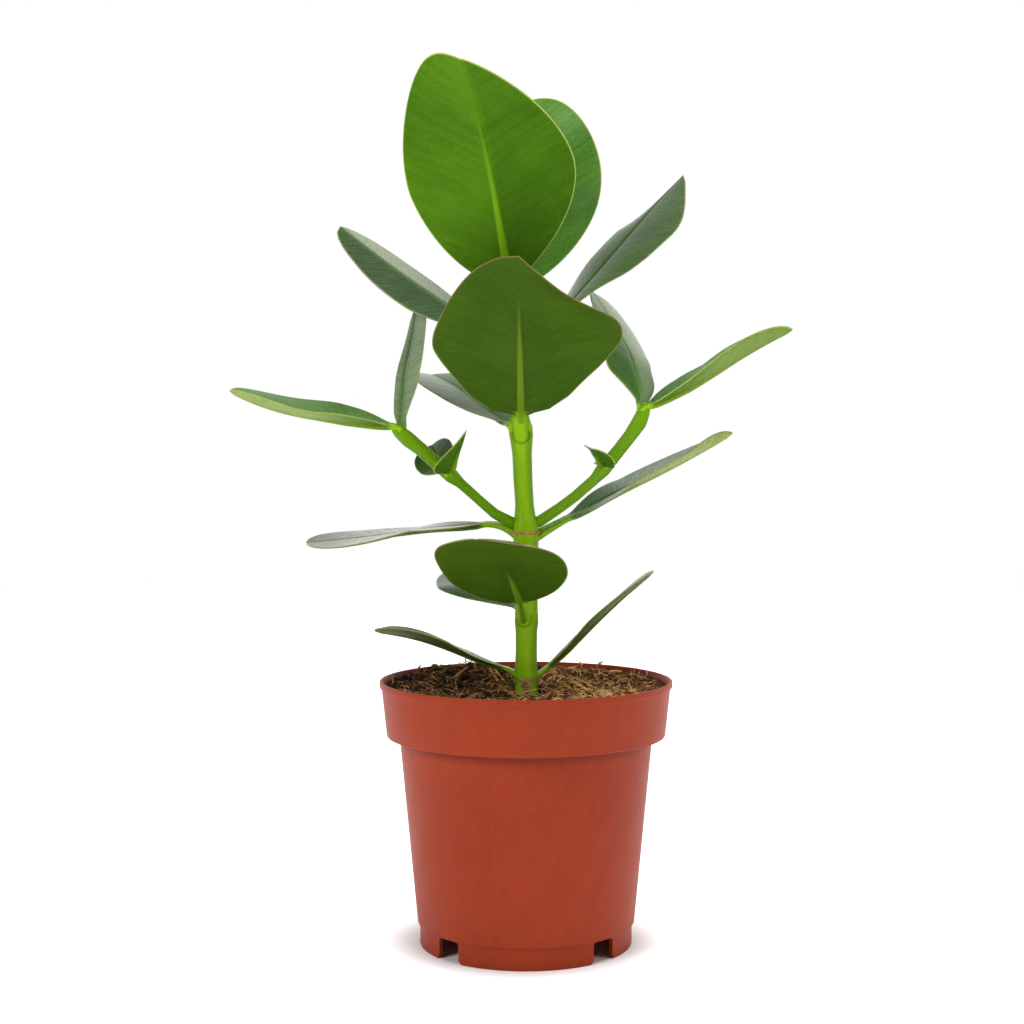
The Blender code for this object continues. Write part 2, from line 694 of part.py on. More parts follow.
def make_leaf(name, leaf, plant):
    grid, thickness = leaf_grid(leaf)
    part = place(name, leaf_mesh(name, grid), plant)
    group = part.vertex_groups.new(name="thickness")
    flat = list(thickness[:-1].reshape(-1)) + [BLADE_THICKNESS]
    for index, value in enumerate(flat):
        group.add([index], value / RIB_THICKNESS, "REPLACE")
    solidify = part.modifiers.new("Thickness", "SOLIDIFY")
    solidify.thickness = RIB_THICKNESS * MM
    solidify.offset = -1
    solidify.vertex_group = "thickness"
    return part


def paint(part, material):
    part.data.materials.clear()
    part.data.materials.append(material)


def main():
    clear_scene()
    plant = make_collection("potted_clusia")
    cutters = make_collection("cutters")
    terracotta = make_material("pot_plastic", (0.33, 0.045, 0.014), 0.45)
    peat = make_material("peat", (0.055, 0.03, 0.017), 0.95)
    bark = make_material("green_stem", (0.17, 0.33, 0.02), 0.4)
    green = make_material("leaf_green", (0.05, 0.14, 0.02), 0.35)

    stem_space = hide(tube("stem_space", MAIN_STEM, CLEARANCE, cutters))
    left_space = hide(tube("left_space", LEFT_BRANCH, CLEARANCE, cutters))
    right_space = hide(tube("right_space", RIGHT_BRANCH, CLEARANCE, cutters))

    pot = make_pot(plant, cutters)
    paint(pot, terracotta)
    soil = make_soil(plant, cutters, stem_space)
    paint(soil, peat)
    stems = [make_main_stem(plant)]
    for name, stations in (("left_branch", LEFT_BRANCH), ("right_branch", RIGHT_BRANCH)):
        branch = tube(name, stations, 0, plant)
        cut(branch, stem_space)
        stems.append(branch)
    for stem in stems:
        paint(stem, bark)
    leaves = []
    for name, spec in LEAVES.items():
        leaf = make_leaf(name, {**USUAL, **spec}, plant)
        if spec["node"] in (NODE_LEFT, TIP_LEFT):
            cut(leaf, left_space)
        elif spec["node"] in (NODE_RIGHT, TIP_RIGHT):
            cut(leaf, right_space)
        else:
            cut(leaf, stem_space)
        paint(leaf, green)
        leaves.append(leaf)

    stand = bpy.data.objects.new("stand", None)
    plant.objects.link(stand)
    stand.location = (POT_AXIS_X * MM, POT_AXIS_Y * MM, 0)
    for part in [pot, soil, *stems, *leaves, *cutters.objects]:
        part.parent = stand


main()
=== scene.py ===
# Potted clusia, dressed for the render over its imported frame
import math

import bmesh
import bpy
import numpy as np
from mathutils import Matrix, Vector, noise


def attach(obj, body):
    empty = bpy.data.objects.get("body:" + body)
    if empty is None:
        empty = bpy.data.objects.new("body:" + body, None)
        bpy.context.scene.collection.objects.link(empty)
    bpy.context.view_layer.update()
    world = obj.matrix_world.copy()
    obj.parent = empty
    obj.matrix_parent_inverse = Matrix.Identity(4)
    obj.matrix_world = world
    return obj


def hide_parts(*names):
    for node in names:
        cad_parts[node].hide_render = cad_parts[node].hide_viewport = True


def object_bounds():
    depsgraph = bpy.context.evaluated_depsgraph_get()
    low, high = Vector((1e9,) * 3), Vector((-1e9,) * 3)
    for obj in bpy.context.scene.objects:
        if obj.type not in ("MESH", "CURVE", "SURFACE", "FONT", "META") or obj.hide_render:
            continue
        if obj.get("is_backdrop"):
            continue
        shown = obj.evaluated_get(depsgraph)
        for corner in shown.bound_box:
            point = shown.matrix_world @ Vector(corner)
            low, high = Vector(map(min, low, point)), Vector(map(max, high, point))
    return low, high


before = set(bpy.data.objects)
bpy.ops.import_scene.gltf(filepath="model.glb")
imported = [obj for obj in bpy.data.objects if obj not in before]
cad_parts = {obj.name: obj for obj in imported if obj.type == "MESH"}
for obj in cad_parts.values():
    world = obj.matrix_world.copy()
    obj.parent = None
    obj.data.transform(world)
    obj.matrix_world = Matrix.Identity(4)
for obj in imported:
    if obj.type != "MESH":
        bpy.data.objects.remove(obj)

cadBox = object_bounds()
mm = 0.001
potAxis = np.array([4.8, 0.9, 0.0])  # millimetres from the origin, everything below is measured from here
collection = bpy.context.scene.collection


# Small helpers for node trees, shader and geometry alike, which add to the tree that is current
current = {}


def link(value, socket):
    current["tree"].links.new(value, socket)


def addNode(kind, inputs=None, **settings):
    made = current["tree"].nodes.new(kind)
    for key, value in settings.items():
        setattr(made, key, value)
    for socket, value in (inputs or {}).items():
        if isinstance(value, bpy.types.NodeSocket):
            link(value, made.inputs[socket])
        else:
            made.inputs[socket].default_value = value
    return made


def calc(operation, first, second=0.0):
    return addNode("ShaderNodeMath", {0: first, 1: second}, operation=operation).outputs[0]


def times(first, second):
    return calc("MULTIPLY", first, second)


def plus(total, *others):
    for other in others:
        total = calc("ADD", total, other)
    return total


def vectorCalc(operation, first, second):
    made = addNode("ShaderNodeVectorMath", {0: first}, operation=operation)
    socket = made.inputs["Scale" if operation == "SCALE" else 1]
    if isinstance(second, bpy.types.NodeSocket):
        link(second, socket)
    else:
        socket.default_value = second
    return made.outputs["Value" if operation == "DISTANCE" else "Vector"]


def parts(vector):
    return addNode("ShaderNodeSeparateXYZ", {0: vector}).outputs


def remap(value, low, high, newLow=0.0, newHigh=1.0, smooth=False):
    sockets = {"Value": value, "From Min": low, "From Max": high, "To Min": newLow, "To Max": newHigh}
    kind = "SMOOTHSTEP" if smooth else "LINEAR"
    return addNode("ShaderNodeMapRange", sockets, interpolation_type=kind).outputs[0]


def blendColour(factor, first, second, blend="MIX"):
    colours = [c if isinstance(c, bpy.types.NodeSocket) else (*c, 1) for c in (first, second)]
    sockets = {0: factor, 6: colours[0], 7: colours[1]}
    return addNode("ShaderNodeMix", sockets, data_type="RGBA", blend_type=blend).outputs[2]


def grain(where, scale, detail=3.0, roughness=0.55):
    sockets = {"Vector": where, "Scale": scale, "Detail": detail, "Roughness": roughness}
    return addNode("ShaderNodeTexNoise", sockets).outputs[0]


def stretched(where, scale):
    return addNode("ShaderNodeMapping", {"Vector": where, "Scale": scale}).outputs[0]


def objectPlace():
    return addNode("ShaderNodeTexCoord").outputs["Object"]


def reading(name, output="Fac"):
    return addNode("ShaderNodeAttribute", attribute_name=name).outputs[output]


def bumped(height, distance, strength=1.0):
    sockets = {"Height": height, "Distance": distance, "Strength": strength}
    return addNode("ShaderNodeBump", sockets).outputs[0]


def newMaterial(name, specular):
    material = bpy.data.materials.new(name)
    material.use_nodes = True
    current["tree"] = material.node_tree
    surface = material.node_tree.nodes["Principled BSDF"]
    surface.inputs["Specular IOR Level"].default_value = specular
    return material, surface


def wire(surface, **sockets):
    for name, value in sockets.items():
        link(value, surface.inputs[name.replace("_", " ")])


# Faces between rings of points that follow each other, and of a prism on an outline
def bandFaces(rings, sides, first=0, closed=False):
    faces = []
    for k in range(rings if closed else rings - 1):
        a, b = first + k * sides, first + (k + 1) % rings * sides
        faces += [(a + j, a + (j + 1) % sides, b + (j + 1) % sides, b + j) for j in range(sides)]
    return faces


def prismFaces(n):
    return [tuple(range(n)), tuple(range(n, 2 * n))] + bandFaces(2, n)


def ringAngles(sides):
    return [math.tau * k / sides for k in range(sides)]


def placed(name, mesh):
    piece = bpy.data.objects.new(name, mesh)
    collection.objects.link(piece)
    return piece


# Plain mesh from points in millimetres from the pot's axis
def meshOf(name, points, faces):
    mesh = bpy.data.meshes.new(name)
    mesh.from_pydata(((np.asarray(points) + potAxis) * mm).tolist(), [], faces)
    return mesh


# A smooth piece with its faces outwards, and with facts about its points that its material reads
def makePiece(name, points, faces, materials=(), faceKinds=None, facts=None):
    mesh = meshOf(name, points, faces)
    for material in materials:
        mesh.materials.append(material)
    if faceKinds is not None:
        mesh.polygons.foreach_set("material_index", faceKinds)
    for key, values in (facts or {}).items():
        values = np.asarray(values, dtype=np.float32)
        kind, field = ("FLOAT_VECTOR", "vector") if values.ndim == 2 else ("FLOAT", "value")
        mesh.attributes.new(key, kind, "POINT").data.foreach_set(field, values.ravel())
    mesh.polygons.foreach_set("use_smooth", [True] * len(faces))
    mesh.update()
    shell = bmesh.new()
    shell.from_mesh(mesh)
    bmesh.ops.recalc_face_normals(shell, faces=shell.faces)
    shell.to_mesh(mesh)
    shell.free()
    return placed(name, mesh)


def join(name, pieces):
    whole = bmesh.new()
    for piece in pieces:
        whole.from_mesh(piece.data)
    mesh = bpy.data.meshes.new(name)
    whole.to_mesh(mesh)
    whole.free()
    for material in pieces[0].data.materials:
        mesh.materials.append(material)
    for piece in pieces:
        bpy.data.objects.remove(piece, do_unlink=True)
    return placed(name, mesh)


def mount(piece, slot, *nodes):
    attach(piece, "root")
    if nodes:
        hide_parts(*nodes)


# The piece's mesh as its modifiers leave it
def settled(piece):
    bpy.context.view_layer.update()
    evaluated = piece.evaluated_get(bpy.context.evaluated_depsgraph_get())
    return bpy.data.meshes.new_from_object(evaluated)


# Grows a geometry tree on a host mesh and gives back a plain piece
def grown(name, tree, values, hostMesh):
    host = placed(name, hostMesh)
    modifier = host.modifiers.new(name, "NODES")
    modifier.node_group = tree
    for item in tree.interface.items_tree:
        if item.in_out == "INPUT" and item.name in values:
            modifier[item.identifier] = values[item.name]
    mesh = settled(host)
    host.modifiers.remove(modifier)
    bpy.data.objects.remove(host, do_unlink=True)
    return placed(name, mesh)


def newTree(name, inputs):
    tree = bpy.data.node_groups.new(name, "GeometryNodeTree")
    tree.interface.new_socket("Geometry", in_out="INPUT", socket_type="NodeSocketGeometry")
    for key, kind in inputs.items():
        tree.interface.new_socket(key, in_out="INPUT", socket_type="NodeSocket" + kind)
    tree.interface.new_socket("Geometry", in_out="OUTPUT", socket_type="NodeSocketGeometry")
    current["tree"] = tree
    return addNode("NodeGroupInput").outputs, addNode("NodeGroupOutput").inputs[0]


# A run of values with its corners worn round, its ends kept
def softened(values, width):
    kernel = np.hanning(width + 2)[1:-1]
    padded = np.concatenate([values[:1].repeat(width // 2), values, values[-1:].repeat(width // 2)])
    return np.convolve(padded, kernel / kernel.sum(), "valid")


# Camera, set where the photograph was taken from
camera = {
    "height": 204.2, "distance": 714.7, "tilt": 0.038, "lens": 61.40, "sensor": 36, "sideShift": -14 / 1024,
}

lens = bpy.data.cameras.new("viewpoint")
lens.sensor_width = camera["sensor"]
lens.lens = camera["lens"]
lens.shift_x = camera["sideShift"]
viewpoint = placed("viewpoint", lens)
viewpoint.location = (potAxis[0] * mm, (potAxis[1] - camera["distance"]) * mm, camera["height"] * mm)
viewpoint.rotation_euler = (math.pi / 2 - camera["tilt"], 0, 0)
bpy.context.scene.camera = viewpoint

# Studio: a white room, bright behind the plant, dimmer above and behind the camera, with three broad lights
studio = {
    # brightness of the room, each with the shares of a direction between which it comes on
    "front": 0.15, "back": 0.7, "frontToBack": (-0.7, 0.5), "backdrop": 1.05, "backdropFrom": (0.35, 0.8),
    "right": 0.1, "rightFrom": (0.3, 0.8), "above": 0.5, "aboveFrom": (0.1, 0.65), "seen": 1.0,
    # floor: its size, colour and gloss, and its glow by the distance from the pot's axis in metres
    "floorSize": 3.4, "floorColour": 0.93, "floorRoughness": 0.9, "floorSpecular": 0.1,
    "floorGlow": (0.5, 0.75), "floorFade": (0.12, 0.7), "underPot": (0.041, 0.062),
    "lights": [
        # name, place, what it aims at, size, power
        ("overhead", (0.12, -0.1, 1.4), (0, 0, 0.25), 0.8, 14.0),
        ("leftBox", (-1.1, -1.0, 0.95), (0, 0, 0.2), 0.6, 13.2),
        ("rightBox", (1.25, -0.65, 0.7), (0, 0, 0.2), 0.6, 5.5),
    ],
}

bpy.context.scene.view_settings.view_transform = "Standard"
world = bpy.data.worlds.new("surroundings")
world.use_nodes = True
current["tree"] = world.node_tree
toward = parts(addNode("ShaderNodeTexCoord").outputs["Generated"])
room = remap(toward["Y"], *studio["frontToBack"], studio["front"], studio["back"], smooth=True)
backdrop = remap(toward["Y"], *studio["backdropFrom"], 0, studio["backdrop"], smooth=True)
room = plus(room, backdrop, remap(toward["X"], *studio["rightFrom"], 0, studio["right"]))
room = times(room, remap(toward["Z"], *studio["aboveFrom"], 1, studio["above"], smooth=True))
seen = addNode("ShaderNodeLightPath").outputs["Is Camera Ray"]
unseen = times(room, calc("SUBTRACT", 1.0, seen))
background = world.node_tree.nodes["Background"].inputs
background["Color"].default_value = (1, 1, 1, 1)
link(plus(unseen, times(seen, studio["seen"])), background["Strength"])
bpy.context.scene.world = world
for name, place, aim, size, power in studio["lights"]:
    lamp = bpy.data.lights.new(name, "AREA")
    lamp.size = size
    lamp.energy = power
    holder = placed(name, lamp)
    holder.location = place
    holder.rotation_euler = (Vector(aim) - Vector(place)).to_track_quat("-Z", "Y").to_euler()

floorPaint, surface = newMaterial("paleFloor", studio["floorSpecular"])
surface.inputs["Base Color"].default_value = (*[studio["floorColour"]] * 3, 1)
surface.inputs["Roughness"].default_value = studio["floorRoughness"]
surface.inputs["Emission Color"].default_value = (1, 1, 1, 1)
spread = vectorCalc("DISTANCE", objectPlace(), tuple(potAxis * mm))
floorGlow = remap(spread, *studio["floorFade"], *studio["floorGlow"], smooth=True)
wire(surface, Emission_Strength=times(floorGlow, remap(spread, *studio["underPot"], smooth=True)))
half = studio["floorSize"] / 2
floorMesh = bpy.data.meshes.new("floor")
corners = [(-half, -half, 0), (half, -half, 0), (half, half, 0), (-half, half, 0)]
floorMesh.from_pydata(corners, [], [(0, 1, 2, 3)])
floorMesh.materials.append(floorPaint)
floor = placed("floor", floorMesh)
floor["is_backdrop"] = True
print("studio and camera are set")


# Pot: terracotta coloured plastic, thin walled, with a collar, a rolled lip and a notched foot
pot = {
    "height": 108.2, "wall": 1.2, "steps": 160, "rowStep": 4.0, "sharpAbove": 50,
    "lipRadius": 60.0, "lipDepth": 2.4,
    "collarTop": 59.2, "collarFoot": 57.1, "collarFootHeight": 85.7,
    "bodyTop": 51.9, "bodyFoot": 44.6,
    "footHeight": 9.0, "footRadius": 43.6, "footThick": 1.8,
    "floorHeight": 8.6, "floorThick": 1.6,
    "notches": 4, "notchWidth": 11.0, "notchFlare": 1.5, "notchCorner": 0.8,
    "notchFoot": -2, "notchRoof": 0.3, "notchReach": (-7, 6),
    "drainHoles": 8, "drainCircle": 28.0, "drainRadius": 4.0, "drainSides": 28, "drainReach": 3,
    "look": {
        "colour": (0.318, 0.036, 0.0065), "deep": (0.230, 0.023, 0.004), "speck": (0.50, 0.14, 0.07),
        "specular": 0.15,
        # scales of the noises, and what each is turned into: from low, from high, to low, to high
        "broad": 22, "broadTone": (0.3, 0.7, 0.2, 0.6),
        "dapple": 240, "dappleStretch": (1, 1, 0.45), "dappleTone": (0.35, 0.65, -0.1, 0.22),
        "gloss": (0.3, 0.7, 0.44, 0.56),
        "stipple": 1300, "stippleTone": (0.3, 0.5, 0.35, 0), "specks": 1500,
        "speckTone": (0.64, 0.74, 0, 0.15),
        "relief": (0.00012, 0.55), "stippleRelief": 0.7, "dappleRelief": 0.5,
        # painted shade in the corner below the collar: colour, how far down it reaches in metres, share
        "corner": (0.135, 0.012, 0.0025), "collarShadeReach": 0.0055, "collarShadeShare": 0.75,
    },
}


def collarInside(height):
    share = (height - pot["collarFootHeight"]) / (pot["height"] - pot["lipDepth"] - pot["collarFootHeight"])
    return pot["collarFoot"] + (pot["collarTop"] - pot["collarFoot"]) * min(share, 1) - pot["wall"]


# Points of a quarter round that turns from one corner's way in to its way out
def rounded(corner, comesFrom, goesTo, radius, steps=4):
    corner, comesFrom, goesTo = (np.array(p, float) for p in (corner, comesFrom, goesTo))
    start = corner + (comesFrom - corner) / np.linalg.norm(comesFrom - corner) * radius
    end = corner + (goesTo - corner) / np.linalg.norm(goesTo - corner) * radius
    shares = [k / steps for k in range(steps + 1)]
    return [(1 - s) ** 2 * start + 2 * s * (1 - s) * corner + s * s * end for s in shares]


# Radius, height and rounding of each corner, from the middle of the floor up inside,
# over the lip and down outside
def potProfile():
    p = pot
    shoulder = p["collarFootHeight"] + p["wall"]
    collarTop = p["height"] - p["lipDepth"]
    floorTop = p["floorHeight"] + p["floorThick"]
    footInside = p["footRadius"] - p["footThick"]
    corners = [
        (0, floorTop, 0),
        (p["bodyFoot"] - p["wall"], floorTop, 1.0),
        (p["bodyTop"] - p["wall"], shoulder, 0.5),
        (p["collarFoot"] - p["wall"], shoulder, 0.5),
        (collarInside(collarTop), collarTop, 0.4),
        (p["lipRadius"] - p["wall"], p["height"], 0.3),
        (p["lipRadius"], p["height"], 0.5),
        (p["lipRadius"], collarTop, 0.35),
        (p["collarTop"], collarTop - 0.2, 0.2),
        (p["collarFoot"], p["collarFootHeight"], 0.7),
        (p["bodyTop"], p["collarFootHeight"], 0.25),
        (p["bodyFoot"], p["footHeight"], 0.35),
        (p["footRadius"], p["footHeight"], 0.2),
        (p["footRadius"], 0, 0.4),
        (footInside, 0, 0.4),
        (footInside, p["floorHeight"], 0.4),
        (0, p["floorHeight"], 0),
    ]
    made = []
    for k, (radius, height, rounding) in enumerate(corners):
        if rounding:
            made += rounded((radius, height), corners[k - 1][:2], corners[k + 1][:2], rounding)
        else:
            made.append(np.array((radius, height), float))
    return made


# More rows where the profile runs far, so that fine shading stays even
def divided(profile, longest):
    made = [profile[0]]
    for point in profile[1:]:
        start, step = made[-1], point - made[-1]
        count = max(1, math.ceil(np.linalg.norm(step) / longest))
        made += [start + step * (k + 1) / count for k in range(count)]
    return made


# A body of revolution whose profile starts and ends on the axis
def turnedShell(name, profile, steps, material):
    points = [(0, 0, profile[0][1])]
    for radius, height in profile[1:-1]:
        for angle in ringAngles(steps):
            points.append((radius * math.cos(angle), radius * math.sin(angle), height))
    rings, last = len(profile) - 2, len(points)
    points.append((0, 0, profile[-1][1]))
    faces = [(0, 1 + k, 1 + (k + 1) % steps) for k in range(steps)]
    faces += bandFaces(rings, steps, first=1)
    faces += [(last - steps + k, last - steps + (k + 1) % steps, last) for k in range(steps)]
    return makePiece(name, points, faces, [material])


# A prism with the notch's outline, reaching through the foot ring on one side
def notchCutter(angle):
    p = pot
    side, flare, corner = p["notchWidth"] / 2, p["notchFlare"], p["notchCorner"]
    foot, top = p["notchFoot"], p["footHeight"] - p["notchRoof"]
    outline = [(side + flare, foot), (side + flare, 0), (side, flare)]
    outline += [(side, top - corner), (side - corner, top)]
    outline = [(-y, z) for y, z in outline[2::-1]] + outline + [(-y, z) for y, z in outline[:2:-1]]
    points = []
    for reach in p["notchReach"]:
        x = p["footRadius"] + reach
        points += [(x * math.cos(angle) - y * math.sin(angle), x * math.sin(angle) + y * math.cos(angle), z)
                   for y, z in outline]
    return makePiece("notchCutter", points, prismFaces(len(outline)))


def drainCutter(angle):
    p = pot
    x, y = p["drainCircle"] * math.cos(angle), p["drainCircle"] * math.sin(angle)
    radius, points = p["drainRadius"], []
    for height in (p["floorHeight"] - p["drainReach"], p["floorHeight"] + p["floorThick"] + p["drainReach"]):
        for turn in ringAngles(p["drainSides"]):
            points.append((x + radius * math.cos(turn), y + radius * math.sin(turn), height))
    return makePiece("drainCutter", points, prismFaces(p["drainSides"]))


def carved(piece, cutters):
    for cutter in cutters:
        cut = piece.modifiers.new(cutter.name, "BOOLEAN")
        cut.operation = "DIFFERENCE"
        cut.object = cutter
    mesh = settled(piece)
    piece.modifiers.clear()
    piece.data = mesh
    for cutter in cutters:
        bpy.data.objects.remove(cutter, do_unlink=True)
    mesh.polygons.foreach_set("use_smooth", [True] * len(mesh.polygons))
    mesh.set_sharp_from_angle(angle=math.radians(pot["sharpAbove"]))


def potPlastic():
    look = pot["look"]
    material, surface = newMaterial("terracottaPlastic", look["specular"])
    where = objectPlace()
    stipple = grain(where, look["stipple"], 2, 0.6)
    dapple = grain(stretched(where, look["dappleStretch"]), look["dapple"], 4, 0.65)
    broad = remap(grain(where, look["broad"], 2), *look["broadTone"])
    tone = plus(broad, remap(dapple, *look["dappleTone"]))
    colour = blendColour(tone, look["deep"], look["colour"])
    colour = blendColour(remap(stipple, *look["stippleTone"]), colour, look["deep"])
    specks = remap(grain(where, look["specks"], 1), *look["speckTone"])
    colour = blendColour(specks, colour, look["speck"])
    # Painted shade on the wall just below the collar's overhang
    height, corner = parts(where)["Z"], pot["collarFootHeight"] * mm
    below = remap(height, corner - look["collarShadeReach"], corner, 0, look["collarShadeShare"], smooth=True)
    below = times(below, remap(height, corner, corner + 0.1 * mm, 1, 0))
    colour = blendColour(below, colour, look["corner"])
    relief = plus(times(stipple, look["stippleRelief"]), times(dapple, look["dappleRelief"]))
    gloss = remap(dapple, *look["gloss"])
    wire(surface, Base_Color=colour, Roughness=gloss, Normal=bumped(relief, *look["relief"]))
    return material


potShell = turnedShell("potShell", divided(potProfile(), pot["rowStep"]), pot["steps"], potPlastic())
cutters = [notchCutter(math.tau * (k + 0.5) / pot["notches"]) for k in range(pot["notches"])]
cutters += [drainCutter(angle) for angle in ringAngles(pot["drainHoles"])]
carved(potShell, cutters)
mount(potShell, "pot", "pot")
print("pot done,", len(potShell.data.polygons), "faces")


# Soil: peat and coir that rises from the stem to the wall and is heaped at the back left
soil = {
    "level": 101.5, "atWall": 105.0, "heap": 3.6, "heapAt": (-32, 30), "heapWidth": 25.0, "pile": 2.6,
    "roughness": 2.2, "bumpSizes": (11, 5), "fineRelief": 1.2, "fineSize": 3.2,
    "rings": 84, "turns": 200, "crowding": 0.8, "wallGap": 0.35, "edge": 0.9, "edgeWidth": 1.2, "gap": 0.3,
    # the patch that things are scattered on: how far it stays from the stem, cells each way, lift off the bed
    "patchInner": 6.0, "patchCells": 60, "patchLift": 0.2, "scatterReach": 57.2,
    "look": {
        # places and noises turned into tone, lighter towards the right: from low, from high, to low, to high
        "across": (-0.03, 0.035), "patches": 130, "patchDry": (0.35, 0.65, -0.45, 0.45),
        "lightnessTone": (0.1, 1.1), "tintShare": 0.5,
        "crumbs": 900, "fleckTone": (0.55, 0.72, 0, 0.6), "pitTone": (0.28, 0.42, 0.75, 0),
        "pit": (0.012, 0.006, 0.004),
        "specular": 0.15, "roughness": 0.95,
        # the lighter colour, the darker colour and that of the flecks, and the relief in metres
        "peat": ((0.085, 0.034, 0.012), (0.018, 0.009, 0.005), (0.30, 0.165, 0.065), 0.0006),
        "crumb": ((0.155, 0.062, 0.022), (0.015, 0.007, 0.0035), (0.30, 0.165, 0.065), 0.0005),
        "coir": ((0.86, 0.52, 0.21), (0.20, 0.085, 0.028), (0.80, 0.54, 0.24), 0.0002),
        "straw": ((0.72, 0.38, 0.11), (0.34, 0.15, 0.04), (0.84, 0.54, 0.22), 0.0002),
    },
}


def soilHeight(x, y):
    fx, fy = soil["heapAt"]
    heap = math.exp(-((x - fx) ** 2 + (y - fy) ** 2) / soil["heapWidth"] ** 2)
    large, small = soil["bumpSizes"]
    bumps = noise.noise(Vector((x, y, 7.0)) / large) + 0.5 * noise.noise(Vector((x, y, 3.0)) / small)
    rise = (soil["atWall"] - soil["level"]) * (x * x + y * y) / pot["collarFoot"] ** 2
    pile = soil["pile"] * max(0, x) * max(0, y) / pot["collarFoot"] ** 2  # towards the back right
    return soil["level"] + rise + soil["heap"] * heap + pile + soil["roughness"] * bumps


def soilMaterial(name):
    look = soil["look"]
    light, dark, fleck, depth = look[name]
    material, surface = newMaterial(name, look["specular"])
    where = objectPlace()
    patches = remap(grain(where, look["patches"], 4, 0.65), *look["patchDry"])
    crumbs = grain(where, look["crumbs"], 4, 0.7)
    # Lighter towards the right across the pot, with random patches
    lightness = plus(remap(parts(where)["X"], *look["across"]), patches)
    tone = plus(remap(lightness, *look["lightnessTone"]), times(reading("tint"), look["tintShare"]))
    colour = blendColour(tone, dark, light)
    colour = blendColour(remap(crumbs, *look["fleckTone"]), colour, fleck)
    colour = blendColour(remap(crumbs, *look["pitTone"]), colour, look["pit"])
    surface.inputs["Roughness"].default_value = look["roughness"]
    wire(surface, Base_Color=colour, Normal=bumped(crumbs, depth))
    return material


# Points of one ring in plan, every other ring turned by half a step
def soilRing(ring, radius):
    angles = [math.tau * (k + 0.5 * (ring % 2)) / soil["turns"] for k in range(soil["turns"])]
    return [(radius * math.cos(angle), radius * math.sin(angle)) for angle in angles]


def soilBed(material):
    turns, rings, edge = soil["turns"], soil["rings"], soil["edgeWidth"]
    points = [(0, 0, soilHeight(0, 0))]
    wall = collarInside(soil["level"]) - soil["wallGap"]
    for ring in range(1, rings + 1):
        radius = wall * (ring / rings) ** soil["crowding"]
        drop = soil["edge"] * max(0, (radius - wall + edge) / edge) ** 2
        for x, y in soilRing(ring, radius):
            fine = noise.fractal(Vector((x, y, 1.0)) / soil["fineSize"], 0.8, 2.1, 4)
            points.append((x, y, soilHeight(x, y) + soil["fineRelief"] * fine - drop))
    skin = pot["wall"] + soil["gap"]
    shoulder = pot["collarFootHeight"] + skin
    sides = [(pot["collarFoot"] - skin, shoulder), (pot["bodyTop"] - skin, shoulder),
             (pot["bodyFoot"] - skin, pot["floorHeight"] + pot["floorThick"] + soil["gap"])]
    for radius, height in sides:
        points += [(x, y, height) for x, y in soilRing(rings, radius)]
    faces = [(0, 1 + k, 1 + (k + 1) % turns) for k in range(turns)]
    faces += bandFaces(rings + len(sides), turns, first=1)
    faces.append(tuple(range(len(points) - turns, len(points))))
    return makePiece("soilBed", points, faces, [material])


# The open top of the soil inside a radius, left of a line and clear of the stem
def soilPatch(reach, right):
    points, faces, index = [], [], {}
    cells = soil["patchCells"]
    step = 2 * reach / cells
    for i in range(cells + 1):
        for j in range(cells + 1):
            x, y = -reach + i * step, -reach + j * step
            if soil["patchInner"] < math.hypot(x, y) < reach and x < right:
                index[i, j] = len(points)
                points.append((x, y, soilHeight(x, y) + soil["patchLift"]))
    for i in range(cells):
        for j in range(cells):
            corners = [(i, j), (i + 1, j), (i + 1, j + 1), (i, j + 1)]
            if all(corner in index for corner in corners):
                faces.append(tuple(index[corner] for corner in corners))
    return meshOf("soilPatch", points, faces)


def randomValue(low, high, seed):
    sockets = {2: low, 3: high, "Seed": seed}
    return addNode("FunctionNodeRandomValue", sockets, data_type="FLOAT").outputs[1]


# Copies of a shape on the host mesh, each with a tint of its own, as real geometry
def tintedCopies(given, shape, turn, size):
    sockets = {"Mesh": given["Geometry"], "Density": given["Density"], "Seed": given["Seed"]}
    scattered = addNode("GeometryNodeDistributePointsOnFaces", sockets).outputs["Points"]
    sockets = {"Points": scattered, "Instance": shape, "Rotation": turn, "Scale": size}
    copies = addNode("GeometryNodeInstanceOnPoints", sockets).outputs[0]
    sockets = {"Geometry": copies, "Name": "tint", "Value": randomValue(-1.0, 1.0, 9)}
    tinted = addNode("GeometryNodeStoreNamedAttribute", sockets, data_type="FLOAT", domain="INSTANCE")
    return addNode("GeometryNodeRealizeInstances", {0: tinted.outputs[0]}).outputs[0]


# Pushes a geometry about by noise
def rippled(geometry, where, scale, detail, centre, strength):
    sockets = {"Vector": where, "Scale": scale, "Detail": detail}
    ripple = addNode("ShaderNodeTexNoise", sockets).outputs["Color"]
    offset = vectorCalc("SCALE", vectorCalc("SUBTRACT", ripple, centre), strength)
    return addNode("GeometryNodeSetPosition", {"Geometry": geometry, "Offset": offset}).outputs[0]


def painted(geometry, given, result):
    made = addNode("GeometryNodeSetMaterial", {"Geometry": geometry, "Material": given["Material"]})
    link(made.outputs[0], result)
    return current["tree"]


